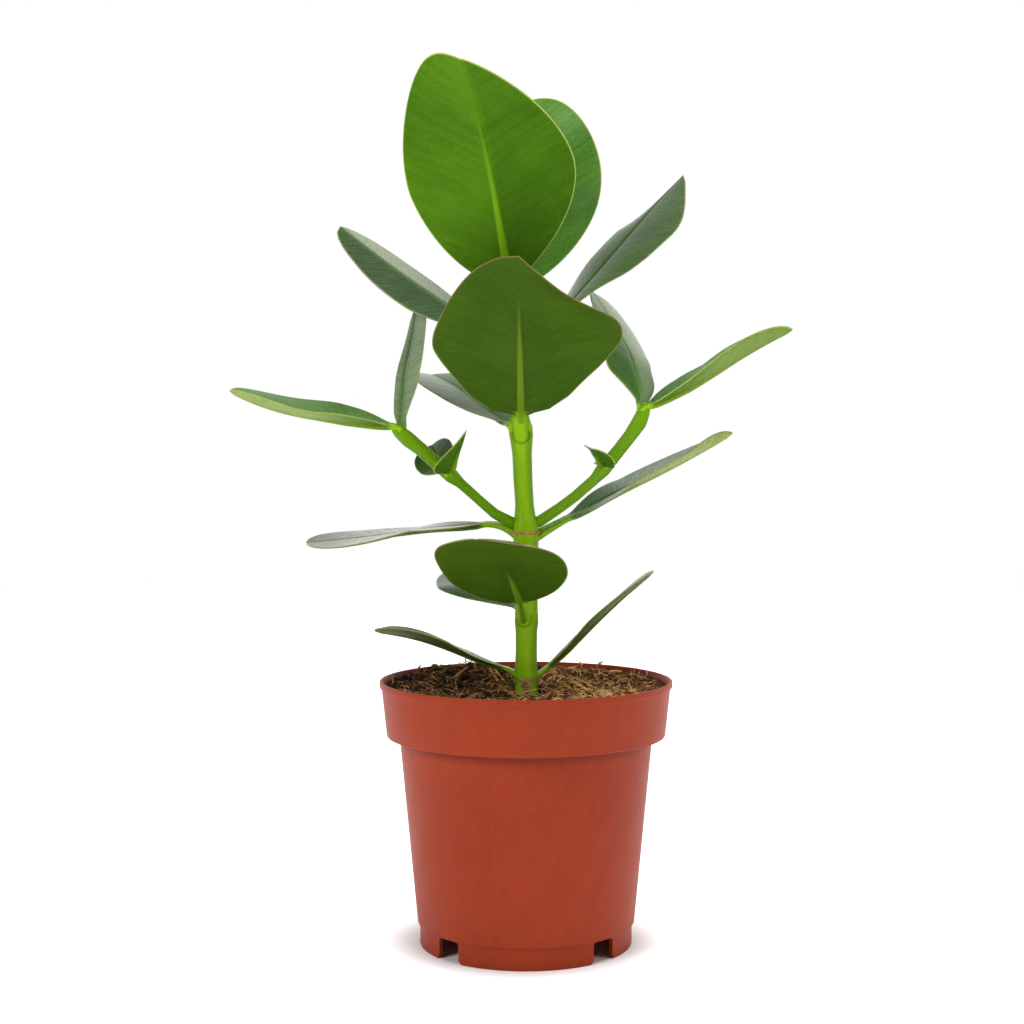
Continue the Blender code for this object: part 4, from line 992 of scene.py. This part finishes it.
leaves = {
    "leaf_a_left": dict(
        foot=(0.0, 107.0, 2.5), heading=(172, 166), rise=(60, 22, 18, 2), roll=(2, -11, 0), length=66,
        halves=(13, 11), fold=(2, 9, 19), aged=0.9),
    "leaf_a_right": dict(
        foot=(0.0, 107.0, 2.5), heading=(10, -10), rise=(34, 46, 44, 38), roll=(-3, 7, -5), length=68,
        halves=(9.5, 13), fold=(18, 7, 6), aged=0.6),
    "leaf_b_front": dict(
        foot=(0.2, 132.2, 4.2), heading=(256, 244), rise=(66, 47, 34, 11), roll=(-6, -5, 0), length=66,
        halves=(30, 25), left=(0.57, 0.65, 2.1, 0.65), right=(0.53, 0.5, 3.0, 0.6), fold=(8, 2, 10), cup=-30,
        petiole=(0.15, 3.0, 1.7), lean=(0.4, 0.1), tone=0.1, rust=0.8, ribFade=1.9, stalkShade=0.8),
    "leaf_b_back": dict(
        foot=(0.2, 131.5, 2.5), heading=(114, 121), rise=(58, 29, 14, 14), roll=(-5, 0, 0), length=58,
        halves=(28, 26), left=(0.43, 0.95, 1.2, 0.4), right=(0.42, 1.3, 2.0, 0.5), fold=(0, 7, 0), cup=-12,
        lean=(0, 0.3)),
    "leaf_c_left": dict(
        foot=(0.0, 165.5, 2.5), heading=(168, 186), rise=(48, -1, -9, -4), roll=(17, 0, 11), length=91,
        halves=(22, 18), left=(0.6, 1.0, 2.4, 0.5), right=(0.6, 1.0, 2.4, 0.5), fold=(8, 1, 2),
        petiole=(0.18, 2.6, 1.8), stalkThick=(4.4, 2.6), aged=0.8, sheenAndBloom=(0.3, 0.3, 0)),
    "leaf_c_right": dict(
        foot=(0.0, 165.5, 2.5), heading=(20, 4), rise=(28, 29, 24, 30), roll=(-36, 2, 2), length=97,
        halves=(18, 18), left=(0.58, 1.0, 2.0, 0.7), right=(0.58, 1.0, 1.8, 0.8), fold=(8, 10, 10),
        petiole=(0.18, 2.6, 1.8), stalkThick=(4.4, 2.6), curl=(0, 55), curlFrom=0.7, sheenAndBloom=(0, 0, 0.7)),
    "leaf_d_front": dict(
        foot=(-1.9, 207.0, 2.5), heading=(268, 270), rise=(84, 63, 61, 37), roll=(-4, -2, 30), length=83.5,
        halves=(40.8, 35.2),
        left=((0, 0.02, 0.11, 0.21, 0.29, 0.39, 0.45, 0.52, 0.63, 0.76, 0.81, 0.845, 0.91, 0.96, 1),
              (0.05, 0.26, 0.48, 0.63, 0.78, 0.93, 0.99, 1, 0.995, 0.94, 0.77, 0.54, 0.39, 0.26, 0.01)),
        right=((0, 0.02, 0.12, 0.23, 0.34, 0.42, 0.49, 0.59, 0.685, 0.78, 0.86, 0.925, 0.965, 1),
               (0.05, 0.31, 0.58, 0.745, 0.905, 1, 0.985, 0.89, 0.78, 0.645, 0.50, 0.33, 0.20, 0.01)),
        fold=(6, 7, -3), cup=-16, petiole=(0.12, 3.4, 1.5), tone=0.12, rust=1.0, stalkShade=0.5),
    "leaf_d_back": dict(
        foot=(-1.9, 207.0, 2.5), heading=(131, 126), rise=(60, 27, 25, 13), roll=(11, 4, 0), length=68,
        halves=(22, 24), fold=(5, 10, 8)),
    "leaf_e_left": dict(
        foot=(-4.2, 243.5, 2.5), heading=(160, 166), rise=(63, 28, 34, 39), roll=(14, 19, 19), length=92,
        halves=(18.6, 16),
        left=((0, 0.05, 0.12, 0.216, 0.347, 0.48, 0.58, 0.688, 0.784, 0.872, 0.94, 0.975, 1),
              (0.05, 0.35, 0.62, 0.845, 1, 1, 0.97, 0.88, 0.745, 0.60, 0.42, 0.27, 0.01)),
        fold=(-5, -8, -8), shade=(1.0, 0), sheenAndBloom=(0, 0.75, 0)),
    "leaf_e_right": dict(
        foot=(-4.2, 243.5, 2.5), heading=(11, 12), rise=(30, 47, 49, 47), roll=(0, -18, -16), length=100,
        halves=(16, 27.4),
        left=((0, 0.1, 0.236, 0.355, 0.571, 0.747, 0.85, 0.93, 0.97, 1),
              (0.05, 0.45, 0.82, 1, 0.95, 0.8, 0.62, 0.4, 0.23, 0.01)),
        right=((0, 0.1, 0.196, 0.287, 0.389, 0.52, 0.608, 0.69, 0.767, 0.852, 0.932, 0.97, 1),
               (0.05, 0.15, 0.24, 0.365, 0.63, 0.86, 0.935, 1, 0.92, 0.665, 0.34, 0.18, 0.01)),
        fold=(6, 4, 3), cup=-15, curl=(-130, 0), curlFrom=0.62, shade=(0.3, 0.6), sheenAndBloom=(0.1, 0.1, 0.3)),
    "leaf_f_front": dict(
        foot=(-4.8, 256.5, 1.8), heading=(255, 247), rise=(90, 57, 61, 44), roll=(-8, -12, 16), length=110.2,
        halves=(33.5, 35), left=(0.52, 0.8, 1.75, 0.65), right=(0.55, 0.5, 1.8, 0.4), fold=(10, 7, 14),
        cup=-8,
        lean=(-0.08, 0.15), tone=1.0, rust=0.0, shade=(0.9, 0.15)),
    "leaf_f_back": dict(
        foot=(-4.8, 256.5, 1.8), heading=(86, 68), rise=(87, 78, 85, 62), roll=(-12, -15, 7), length=94,
        halves=(37, 35), left=(0.56, 0.95, 1.95, 0.4), right=(0.58, 0.7, 2.0, 0.5), fold=(6, 9, 18), cup=-10,
        lean=(0.15, 0), tone=1.0, rust=0.0),
    "leaf_left_small_front": dict(
        foot=(-30.5, 191.9, 1.5), heading=(265, 335), rise=(15, 36, 57, 61), roll=(-55, -45, -18), length=25,
        halves=(7, 11), left=(0.35, 0.8, 1.0, 0.9), right=(0.35, 0.8, 1.0, 0.9), fold=(21, 30, 8), cup=-15,
        petiole=(0.15, 2.0, 1.6), rooted=0.4, tone=0.6),
    "leaf_left_small_back": dict(
        foot=(-30.5, 191.9, 1.5), heading=(114, 105), rise=(46, 8, 38, 21), roll=(20, 44, 34), length=29,
        halves=(10.5, 8), fold=(0, 5, 12), petiole=(0.15, 2.0, 1.6), rooted=0.4),
    "leaf_left_out": dict(
        foot=(-51.5, 209.5, 1.0), heading=(184, 186), rise=(50, 10, 9, 27), roll=(13, 11, 2), length=70.4,
        halves=(17.5, 16), left=(0.58, 1.05, 1.7, 0.55), right=(0.55, 0.8, 3.4, 0.45), fold=(38, 19, 19),
        cup=-8, petiole=(0.04, 2.4, 2.2), rooted=0.35, tone=0.6, sheenAndBloom=(0, 0, 0.7)),
    "leaf_left_up": dict(
        foot=(-51.5, 209.5, 3.0), heading=(60, 48), rise=(86, 102, 70, 80), roll=(14, 14, 14), length=55,
        halves=(5.5, 10.6),
        left=((0, 0.1, 0.24, 0.38, 0.54, 0.67, 0.86, 0.95, 1),
              (0.3, 0.8, 0.93, 1, 0.93, 0.82, 0.72, 0.4, 0.01)),
        right=((0, 0.06, 0.22, 0.34, 0.51, 0.7, 0.88, 0.96, 1),
               (0.1, 0.2, 0.66, 0.93, 1, 0.905, 0.79, 0.5, 0.01)),
        fold=(4, 0, 2), petiole=(0.04, 2.4, 2.2), rooted=0.35, tone=0.25, sheenAndBloom=(0.4, 0.45, 0)),
    "leaf_right_small_front": dict(
        foot=(31.4, 194.3, 1.5), heading=(261, 241), rise=(53, 37, 35, 13), roll=(26, 36, 13), length=17,
        halves=(9.5, 6.5), left=(0.56, 0.6, 2.0, 0.5), fold=(9, 12, 11), cup=-20, petiole=(0.15, 2.4, 2.0),
        rooted=0.4, tone=0.6),
    "leaf_right_small_back": dict(
        foot=(31.4, 194.3, 1.5), heading=(75, 95), rise=(40, 15, 5, 0), length=12, halves=(5, 5),
        fold=(9, 12, 11), petiole=(0.2, 2.0, 1.6), rooted=0.4),
    "leaf_right_in": dict(
        foot=(47.2, 217.5, 1.0), heading=(111, 158), rise=(85, 84, 54, 53), roll=(-8, -16, -7), length=59,
        halves=(20, 23.6),
        left=((0, 0.065, 0.17, 0.26, 0.45, 0.7, 0.86, 0.95, 1),
              (0.05, 0.15, 0.48, 0.84, 1, 0.93, 0.72, 0.45, 0.01)),
        right=((0, 0.08, 0.15, 0.29, 0.51, 0.69, 0.86, 0.95, 1),
               (0.05, 0.25, 0.39, 0.5, 0.86, 0.96, 0.93, 0.65, 0.01)),
        fold=(5, 1, 9), cup=-9, petiole=(0.04, 2.4, 2.2), rooted=0.35, tone=0.6, shade=(1.0, 0),
        sheenAndBloom=(0, 0.6, 0)),
    "leaf_right_out": dict(
        foot=(47.2, 217.5, 1.0), heading=(13, 10), rise=(46, 26, 32, 24), roll=(-8, 6, 4), length=72.9,
        halves=(17, 17.5), left=(0.6, 0.75, 1.6, 0.5), right=(0.58, 1.0, 1.9, 0.8), fold=(26, 18, 25),
        petiole=(0.04, 2.4, 2.2), rooted=0.35, tone=0.7, sheenAndBloom=(0, 0, 0.38)),
}
leaves = {name: {**plainLeaf, **own} for name, own in leaves.items()}
blade = {
    "rows": 84, "shortLeaf": 40, "evenSteps": 0.06, "thick": 1.0, "ribThick": 2.8, "edgeRound": 0.3,
    "wave": 0.45, "waveScale": 0.045, "channel": 0.35, "channelWidth": 0.8, "plump": 0.35,
    "rimShare": 0.45, "rimRun": 3.0, "wearing": 51,
    "inner": (0.0, 0.012, 0.03, 0.055, 0.09, 0.14, 0.21, 0.30, 0.40, 0.50, 0.60, 0.70, 0.80, 0.89, 0.96, 1.0),
    "outer": (0.5, 0.25, 0.1, 0.03, 0.0), "outerRoom": 0.9,
    # how far each ring of the petiole's rooted end is below the foot, how far it is sunk in,
    # and how narrow it gets
    "root": ((0.7, 0.2, 0.96), (1.5, 0.6, 0.86), (2.3, 1.2, 0.68), (2.9, 2.0, 0.42), (3.1, 2.8, 0.15)),
    "look": {
        "upper": {
            "old": (0.026, 0.076, 0.008), "oldDeep": (0.010, 0.038, 0.004),
            "fresh": (0.120, 0.330, 0.022), "freshDeep": (0.050, 0.170, 0.010),
            "ribOld": (0.14, 0.23, 0.06), "ribFresh": (0.14, 0.30, 0.05), "ribEdge": (0.6, 0.95),
            "ribShare": 0.9,
            "veinShare": 0.12, "specular": 0.34, "gloss": (0.16, 0.34), "relief": 0.00018, "pores": 0.015,
            "ripple": 0.12, "shadeTint": (0.35, 0.55, 0.25), "sheenAndBloomPaint": (0.40, 0.44, 0.30),
        },
        "under": {
            "old": (0.040, 0.092, 0.0030), "oldDeep": (0.026, 0.066, 0.0020),
            "fresh": (0.082, 0.215, 0.0040), "freshDeep": (0.045, 0.140, 0.0015),
            "ribOld": (0.13, 0.22, 0.010), "ribFresh": (0.17, 0.34, 0.006), "ribEdge": (0.1, 0.6),
            "ribShare": 0.8,
            "veinShare": 0.05, "specular": 0.05, "gloss": (0.46, 0.58), "relief": 0.00026, "pores": 0.06,
            "ripple": 0.15, "shadeTint": (0.52, 0.62, 0.4), "sheenAndBloomPaint": (0.36, 0.42, 0.14),
        },
        "rimOld": (0.17, 0.22, 0.06), "rimFresh": (0.38, 0.48, 0.10), "rustyRim": (0.22, 0.10, 0.04),
        "stalkOld": (0.21, 0.38, 0.012), "stalkFresh": (0.26, 0.48, 0.010),
        "agedPaint": (0.085, 0.080, 0.028),
        "stalkDeep": (0.055, 0.135, 0.004), "shadeShare": 0.8, "freshDullness": 0.22,
        "veinRelief": 0.5, "pleatRelief": 0.8, "bump": 0.8,
        # noises and readings turned into shares: from low, from high, to low, to high
        "clouds": (0.35, 0.65, 0.2, 0.75), "speckles": (0.35, 0.65, -0.2, 0.2),
        "agedVeins": (0.35, 0.65, 0.45, 1.0),
        "sheenAndBloomVeins": (0.35, 0.65, 0.55, 1.0), "veins": (0.5, 0.75, 0), "rust": (0.35, 0.65, -0.5, 0.3),
        "rustFrom": (0.25, 0.6), "rim": (0.1, 0.6, 0.9, 0.0), "glossVeins": (0.3, 0.7),
    },
}


def halfOutline(t, width, form):
    if len(form) == 2:
        return width * np.interp(t, *form)
    widest, base, tip, bluntness = form
    opening = np.sin(np.pi / 2 * np.clip(t / widest, 0, 1)) ** base
    closing = (1 - np.clip((t - widest) / (1 - widest), 0, 1) ** tip) ** bluntness
    return width * np.where(t < widest, opening, closing)


# The outline with its corners worn round, while its base and its tip stay where they are
def evened(t, width, form):
    fine = np.linspace(0, 1, 401)
    sharp = halfOutline(fine, width, form)
    keep = np.clip(np.minimum(fine / 0.18, (1 - fine) / 0.12), 0, 1) ** 2
    return np.interp(t, fine, sharp + (softened(sharp, blade["wearing"]) - sharp) * keep)


# Places along the midrib, with the directions across, out of and along the blade there
def midribLine(leaf, shares):
    fine = np.linspace(0, 1, 161)
    heading = np.radians(np.interp(fine, (0, 1), leaf["heading"]))
    rise = np.radians(softened(np.interp(fine, (0, leaf["petiole"][0], 0.55, 1), leaf["rise"]), 9))
    roll = np.radians(np.interp(fine, (0, 0.5, 1), leaf["roll"]))
    along = np.stack([np.cos(rise) * np.cos(heading), np.cos(rise) * np.sin(heading), np.sin(rise)], -1)
    points = np.zeros_like(along)
    points[1:] = np.cumsum((along[1:] + along[:-1]) / 2 * leaf["length"] / (len(fine) - 1), 0)
    level = np.stack([np.sin(heading), -np.cos(heading), 0 * heading], -1)
    across = np.cos(roll)[:, None] * level + np.sin(roll)[:, None] * np.cross(level, along)
    x, height, away = leaf["foot"]
    foot = np.array([x, 0, height]) + away * np.array([np.cos(heading[0]), np.sin(heading[0]), 0])
    tables = (points + foot, across, np.cross(across, along), along)
    return [np.stack([np.interp(shares, fine, table[:, k]) for k in range(3)], -1) for table in tables]


# Distance of each point from a line of points, in the flattened leaf
def rimDistance(spots, line):
    start, end = line[:-1], line[1:]
    run = end - start
    offset = spots[:, None, :] - start[None]
    share = np.clip((offset * run).sum(-1) / np.maximum((run ** 2).sum(-1), 1e-12), 0, 1)
    return np.linalg.norm(offset - share[..., None] * run, axis=-1).min(1)


def perHalf(spots, pair):
    return np.where(spots < 0, *pair)


# How far the points are from the midrib, below zero on the left, and how wide their half is in each row
def acrossBlade(leaf, t, stalkWidth):
    columns, reaches = [], []
    for width, half in zip(leaf["halves"], ("left", "right")):
        reach = (evened(t, width, leaf[half]) ** 3 + stalkWidth ** 3) ** (1 / 3)
        room = blade["outerRoom"] * np.minimum(1, reach / 4)
        offsets = [(reach - room) * share for share in blade["inner"]]
        columns.append(np.stack(offsets + [reach - room * share for share in blade["outer"]], 1))
        reaches.append(reach[:, None])
    spots = np.concatenate([-columns[0][:, :0:-1], columns[1]], 1)
    return spots, perHalf(spots, reaches)


# The two faces of a leaf as grids of points, with facts that its material reads
def leafSurface(name, leaf):
    rows = blade["rows"] if leaf["length"] > blade["shortLeaf"] else blade["rows"] // 2
    steps = np.linspace(0, 1, rows + 1)
    shares = blade["evenSteps"] * steps + (1 - blade["evenSteps"]) * np.sin(np.pi / 2 * steps)
    points, across, out, along = midribLine(leaf, shares)
    stalk, footWidth, neckWidth = leaf["petiole"]
    footThick, neckThick = leaf["stalkThick"]
    t = np.clip((shares - stalk) / (1 - stalk), 0, 1)
    narrowing = np.clip(1 - shares / stalk, 0, 1) ** 1.6
    stalkWidth = neckWidth * (1 - 0.85 * t) + (footWidth - neckWidth) * narrowing
    stalkWidth = stalkWidth * np.clip((1 - shares) / 0.03, 0, 1)
    fold = np.radians(softened(np.interp(shares, (0, 0.5, 1), leaf["fold"]), 9))
    points = points + out * (np.clip(1 - shares / 0.3, 0, 1) * blade["ribThick"] / 2)[:, None]
    rib = neckThick + (footThick - neckThick) * narrowing + (blade["thick"] - neckThick) * t ** 0.7
    onStalk = np.clip(1 - (shares - stalk) / 0.04, 0, 1)
    seed = len(name) * 3.1 + leaf["length"]
    spots, reaches = acrossBlade(leaf, t, stalkWidth)
    perRow = (shares, t, stalkWidth, fold, rib, onStalk)
    shares, t, stalkWidth, fold, rib, onStalk = (values[:, None] for values in perRow)
    x = np.abs(spots)
    v = x / np.maximum(reaches, 1e-6)

    # Form of the upper face: folded, cupped, curled, swept and a little wavy
    late = np.clip((t - leaf["curlFrom"]) / (1 - leaf["curlFrom"]), 0, 1) ** 1.4
    bend = np.radians(late * perHalf(spots, leaf["curl"]) + leaf["cup"]) * v / 2
    sideways = spots * np.cos(fold + bend) * np.sinc(bend / np.pi)
    lift = x * np.sin(fold + bend) * np.sinc(bend / np.pi)
    swept = perHalf(spots, leaf["lean"]) * x * t
    runs = shares * leaf["length"] + swept
    scale = blade["waveScale"]
    wave = [noise.noise(Vector((a * scale, b * scale, seed))) for a, b in zip(spots.ravel(), runs.ravel())]
    lift = lift + blade["wave"] * np.reshape(wave, x.shape) * v ** 1.3 * np.minimum(1, x / 5)
    groove = np.exp(-(x / blade["channelWidth"]) ** 2) * np.clip(t * 8, 0, 1) * (1 - t) ** 0.5
    lift = lift - blade["channel"] * groove
    top = points[:, None] + sideways[..., None] * across[:, None] + lift[..., None] * out[:, None]
    top = top + swept[..., None] * along[:, None]
    normal = np.cross(np.gradient(top, axis=1), np.gradient(top, axis=0))
    size = np.linalg.norm(normal, axis=-1, keepdims=True)
    normal = np.where(size > 1e-9, normal / np.maximum(size, 1e-9), out[:, None])
    normal[-1] = out[-1]

    # Thickness: thin and round at the rim, with the midrib standing out below
    flat = np.stack([spots, runs], -1)
    rim = rimDistance(flat.reshape(-1, 2), np.concatenate([flat[:, 0], flat[::-1, -1]])).reshape(x.shape)
    roundness = np.sqrt(1 - (1 - np.clip(rim / blade["edgeRound"], 0, 1)) ** 2)
    ribWidth = stalkWidth + 0.3
    ribRise = np.clip(1 - (x / ribWidth) ** 2, 0, 1) ** (0.5 + 0.9 * np.clip(t * 5, 0, 1))
    ribExtra = (rib - blade["thick"]) * ribRise * np.clip((1 - shares) / 0.06, 0, 1)
    plump = blade["plump"] * onStalk
    inward = np.clip(rim / blade["rimRun"], 0, 1)
    thick = blade["thick"] * (blade["rimShare"] + (1 - blade["rimShare"]) * inward)
    upper = top - normal * (thick / 2 * (1 - roundness) - plump * ribExtra)[..., None]
    lower = top - normal * (thick / 2 * (1 + roundness) + (1 - plump) * ribExtra)[..., None]
    offRib = np.clip(x / 3, 0, 1)
    facts = {
        "rim": rim + 2 * onStalk,
        "rib": np.clip(1 - x / ribWidth, 0, 1) * np.clip(1 - t * leaf["ribFade"], 0, 1),
        "stalk": onStalk * np.clip(3.5 - 2.5 * x / ribWidth, 0, 1),
        "stalkShade": leaf["stalkShade"] * np.clip(1.6 - 2 * x / ribWidth, 0, 1),
        "veins": np.stack([x * 0.07, runs - 0.5 * x, np.full_like(x, seed)], -1),
        "reach": t + 0 * x,
        "shade": perHalf(spots, leaf["shade"]) * offRib,
        "sheenAndBloomUpper": perHalf(spots, leaf["sheenAndBloom"][:2]) * offRib,
        "sheenAndBloomUnder": leaf["sheenAndBloom"][2] * np.clip(2.2 * t - 0.1, 0.1, 1) + 0 * x,
    }

    # The petiole's foot runs on down into the stem and ends in a round lip
    heading = math.radians(leaf["heading"][0])
    intoStem = -np.array([math.cos(heading), math.sin(heading), 0])
    middle = (upper[0] + lower[0]).mean(0) / 2
    for back, sunk, narrow in blade["root"]:
        shift = middle + leaf["rooted"] * (intoStem * sunk - along[0] * back)
        upper, lower = (np.concatenate([(shift + (grid[-rows - 1] - middle) * narrow)[None], grid])
                        for grid in (upper, lower))
        facts = {key: np.concatenate([values[:1], values]) for key, values in facts.items()}
    return upper, lower, facts


def leafPiece(name, leaf, materials):
    upper, lower, facts = leafSurface(name, leaf)
    rows, columns = upper.shape[:2]  # the rooted end's rows are counted in
    ring = 2 * columns - 2
    points = np.concatenate([upper[:-1], lower[:-1, -2:0:-1]], 1).reshape(-1, 3)
    points = np.concatenate([points, upper[-1:, columns // 2], points[:ring].mean(0)[None]])
    tip, foot, last = len(points) - 2, len(points) - 1, (rows - 2) * ring
    tables = {key: np.full(len(points), leaf[key]) for key in ("tone", "rust", "aged")}
    for key, values in facts.items():
        flat = np.concatenate([values[:-1], values[:-1, -2:0:-1]], 1)
        ends = np.stack([values[-1, columns // 2], values[0, columns // 2]])
        tables[key] = np.concatenate([flat.reshape((-1, 3) if values.ndim == 3 else -1), ends])
    faces = bandFaces(rows - 1, ring)
    kinds = [int(k >= columns - 1) for k in range(ring)] * (rows - 2)
    for k in range(ring):
        faces += [(last + k, last + (k + 1) % ring, tip), (foot, (k + 1) % ring, k)]
        kinds += [int(k >= columns - 1), 1]
    return makePiece(name + "Fine", points, faces, materials, kinds, tables)


def leafSkin(side):
    both = blade["look"]
    look = both[side]
    material, surface = newMaterial("leaf" + side.title(), look["specular"])
    tone, veins, where = reading("tone"), reading("veins", "Vector"), objectPlace()
    pleat = grain(veins, 0.5, 2)
    fineVein = grain(veins, 1.5, 3, 0.6)
    pores = grain(where, 1100, 2, 0.6)
    pairs = [("oldDeep", "freshDeep"), ("old", "fresh"), ("ribOld", "ribFresh")]
    deep, light, rib = (blendColour(tone, look[old], look[fresh]) for old, fresh in pairs)
    ripple = remap(pleat, 0.4, 0.6, -look["ripple"], look["ripple"])
    clouds = remap(grain(where, 45, 3), *both["clouds"])
    colour = blendColour(plus(clouds, ripple, remap(pores, *both["speckles"])), deep, light)
    # Painted shade, darker on one half of the leaf
    shade = times(reading("shade"), both["shadeShare"])
    colour = blendColour(shade, colour, look["shadeTint"], "MULTIPLY")
    aged = times(reading("aged"), remap(fineVein, *both["agedVeins"]))
    colour = blendColour(aged, colour, both["agedPaint"])
    # Pale paint, partly a waxy bloom and partly painted sheen where the leaf catches the light
    sheenAndBloom = times(reading("sheenAndBloom" + side.title()), remap(fineVein, *both["sheenAndBloomVeins"]))
    colour = blendColour(sheenAndBloom, colour, look["sheenAndBloomPaint"])
    colour = blendColour(remap(fineVein, *both["veins"], look["veinShare"]), colour, rib)
    onRib = times(remap(reading("rib"), *look["ribEdge"], smooth=True), look["ribShare"])
    colour = blendColour(onRib, colour, rib)
    stalkPaint = blendColour(tone, both["stalkOld"], both["stalkFresh"])
    stalkPaint = blendColour(reading("stalkShade"), stalkPaint, both["stalkDeep"])
    colour = blendColour(remap(reading("stalk"), 0, 1, smooth=True), colour, stalkPaint)
    rusty = plus(reading("rust"), remap(grain(where, 60, 2), *both["rust"]))
    rusty = times(rusty, remap(reading("reach"), *both["rustFrom"]))
    rimPaint = blendColour(tone, both["rimOld"], both["rimFresh"])
    rimPaint = blendColour(rusty, rimPaint, both["rustyRim"])
    onRim = remap(reading("rim"), *both["rim"], smooth=True)
    colour = blendColour(onRim, colour, rimPaint)
    relief = plus(times(fineVein, both["veinRelief"]), times(pores, look["pores"]),
                  times(pleat, both["pleatRelief"]))
    gloss = remap(fineVein, *both["glossVeins"], *look["gloss"])
    gloss = plus(gloss, times(tone, both["freshDullness"]))
    wire(surface, Base_Color=colour, Roughness=gloss, Normal=bumped(relief, look["relief"], both["bump"]))
    return material


skins = [leafSkin("upper"), leafSkin("under")]
for name, leaf in leaves.items():
    mount(leafPiece(name, leaf, skins), "leaf", name)
print("leaves done")
for name, stations in stems.items():
    mount(sweptStem(name, stations, stemSkin), "stem", name)
print("stems done")

low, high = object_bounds()
for label, box in (("cad box", cadBox), ("visual box", (low, high))):
    print(label, [round(v / mm, 1) for p in box for v in p])
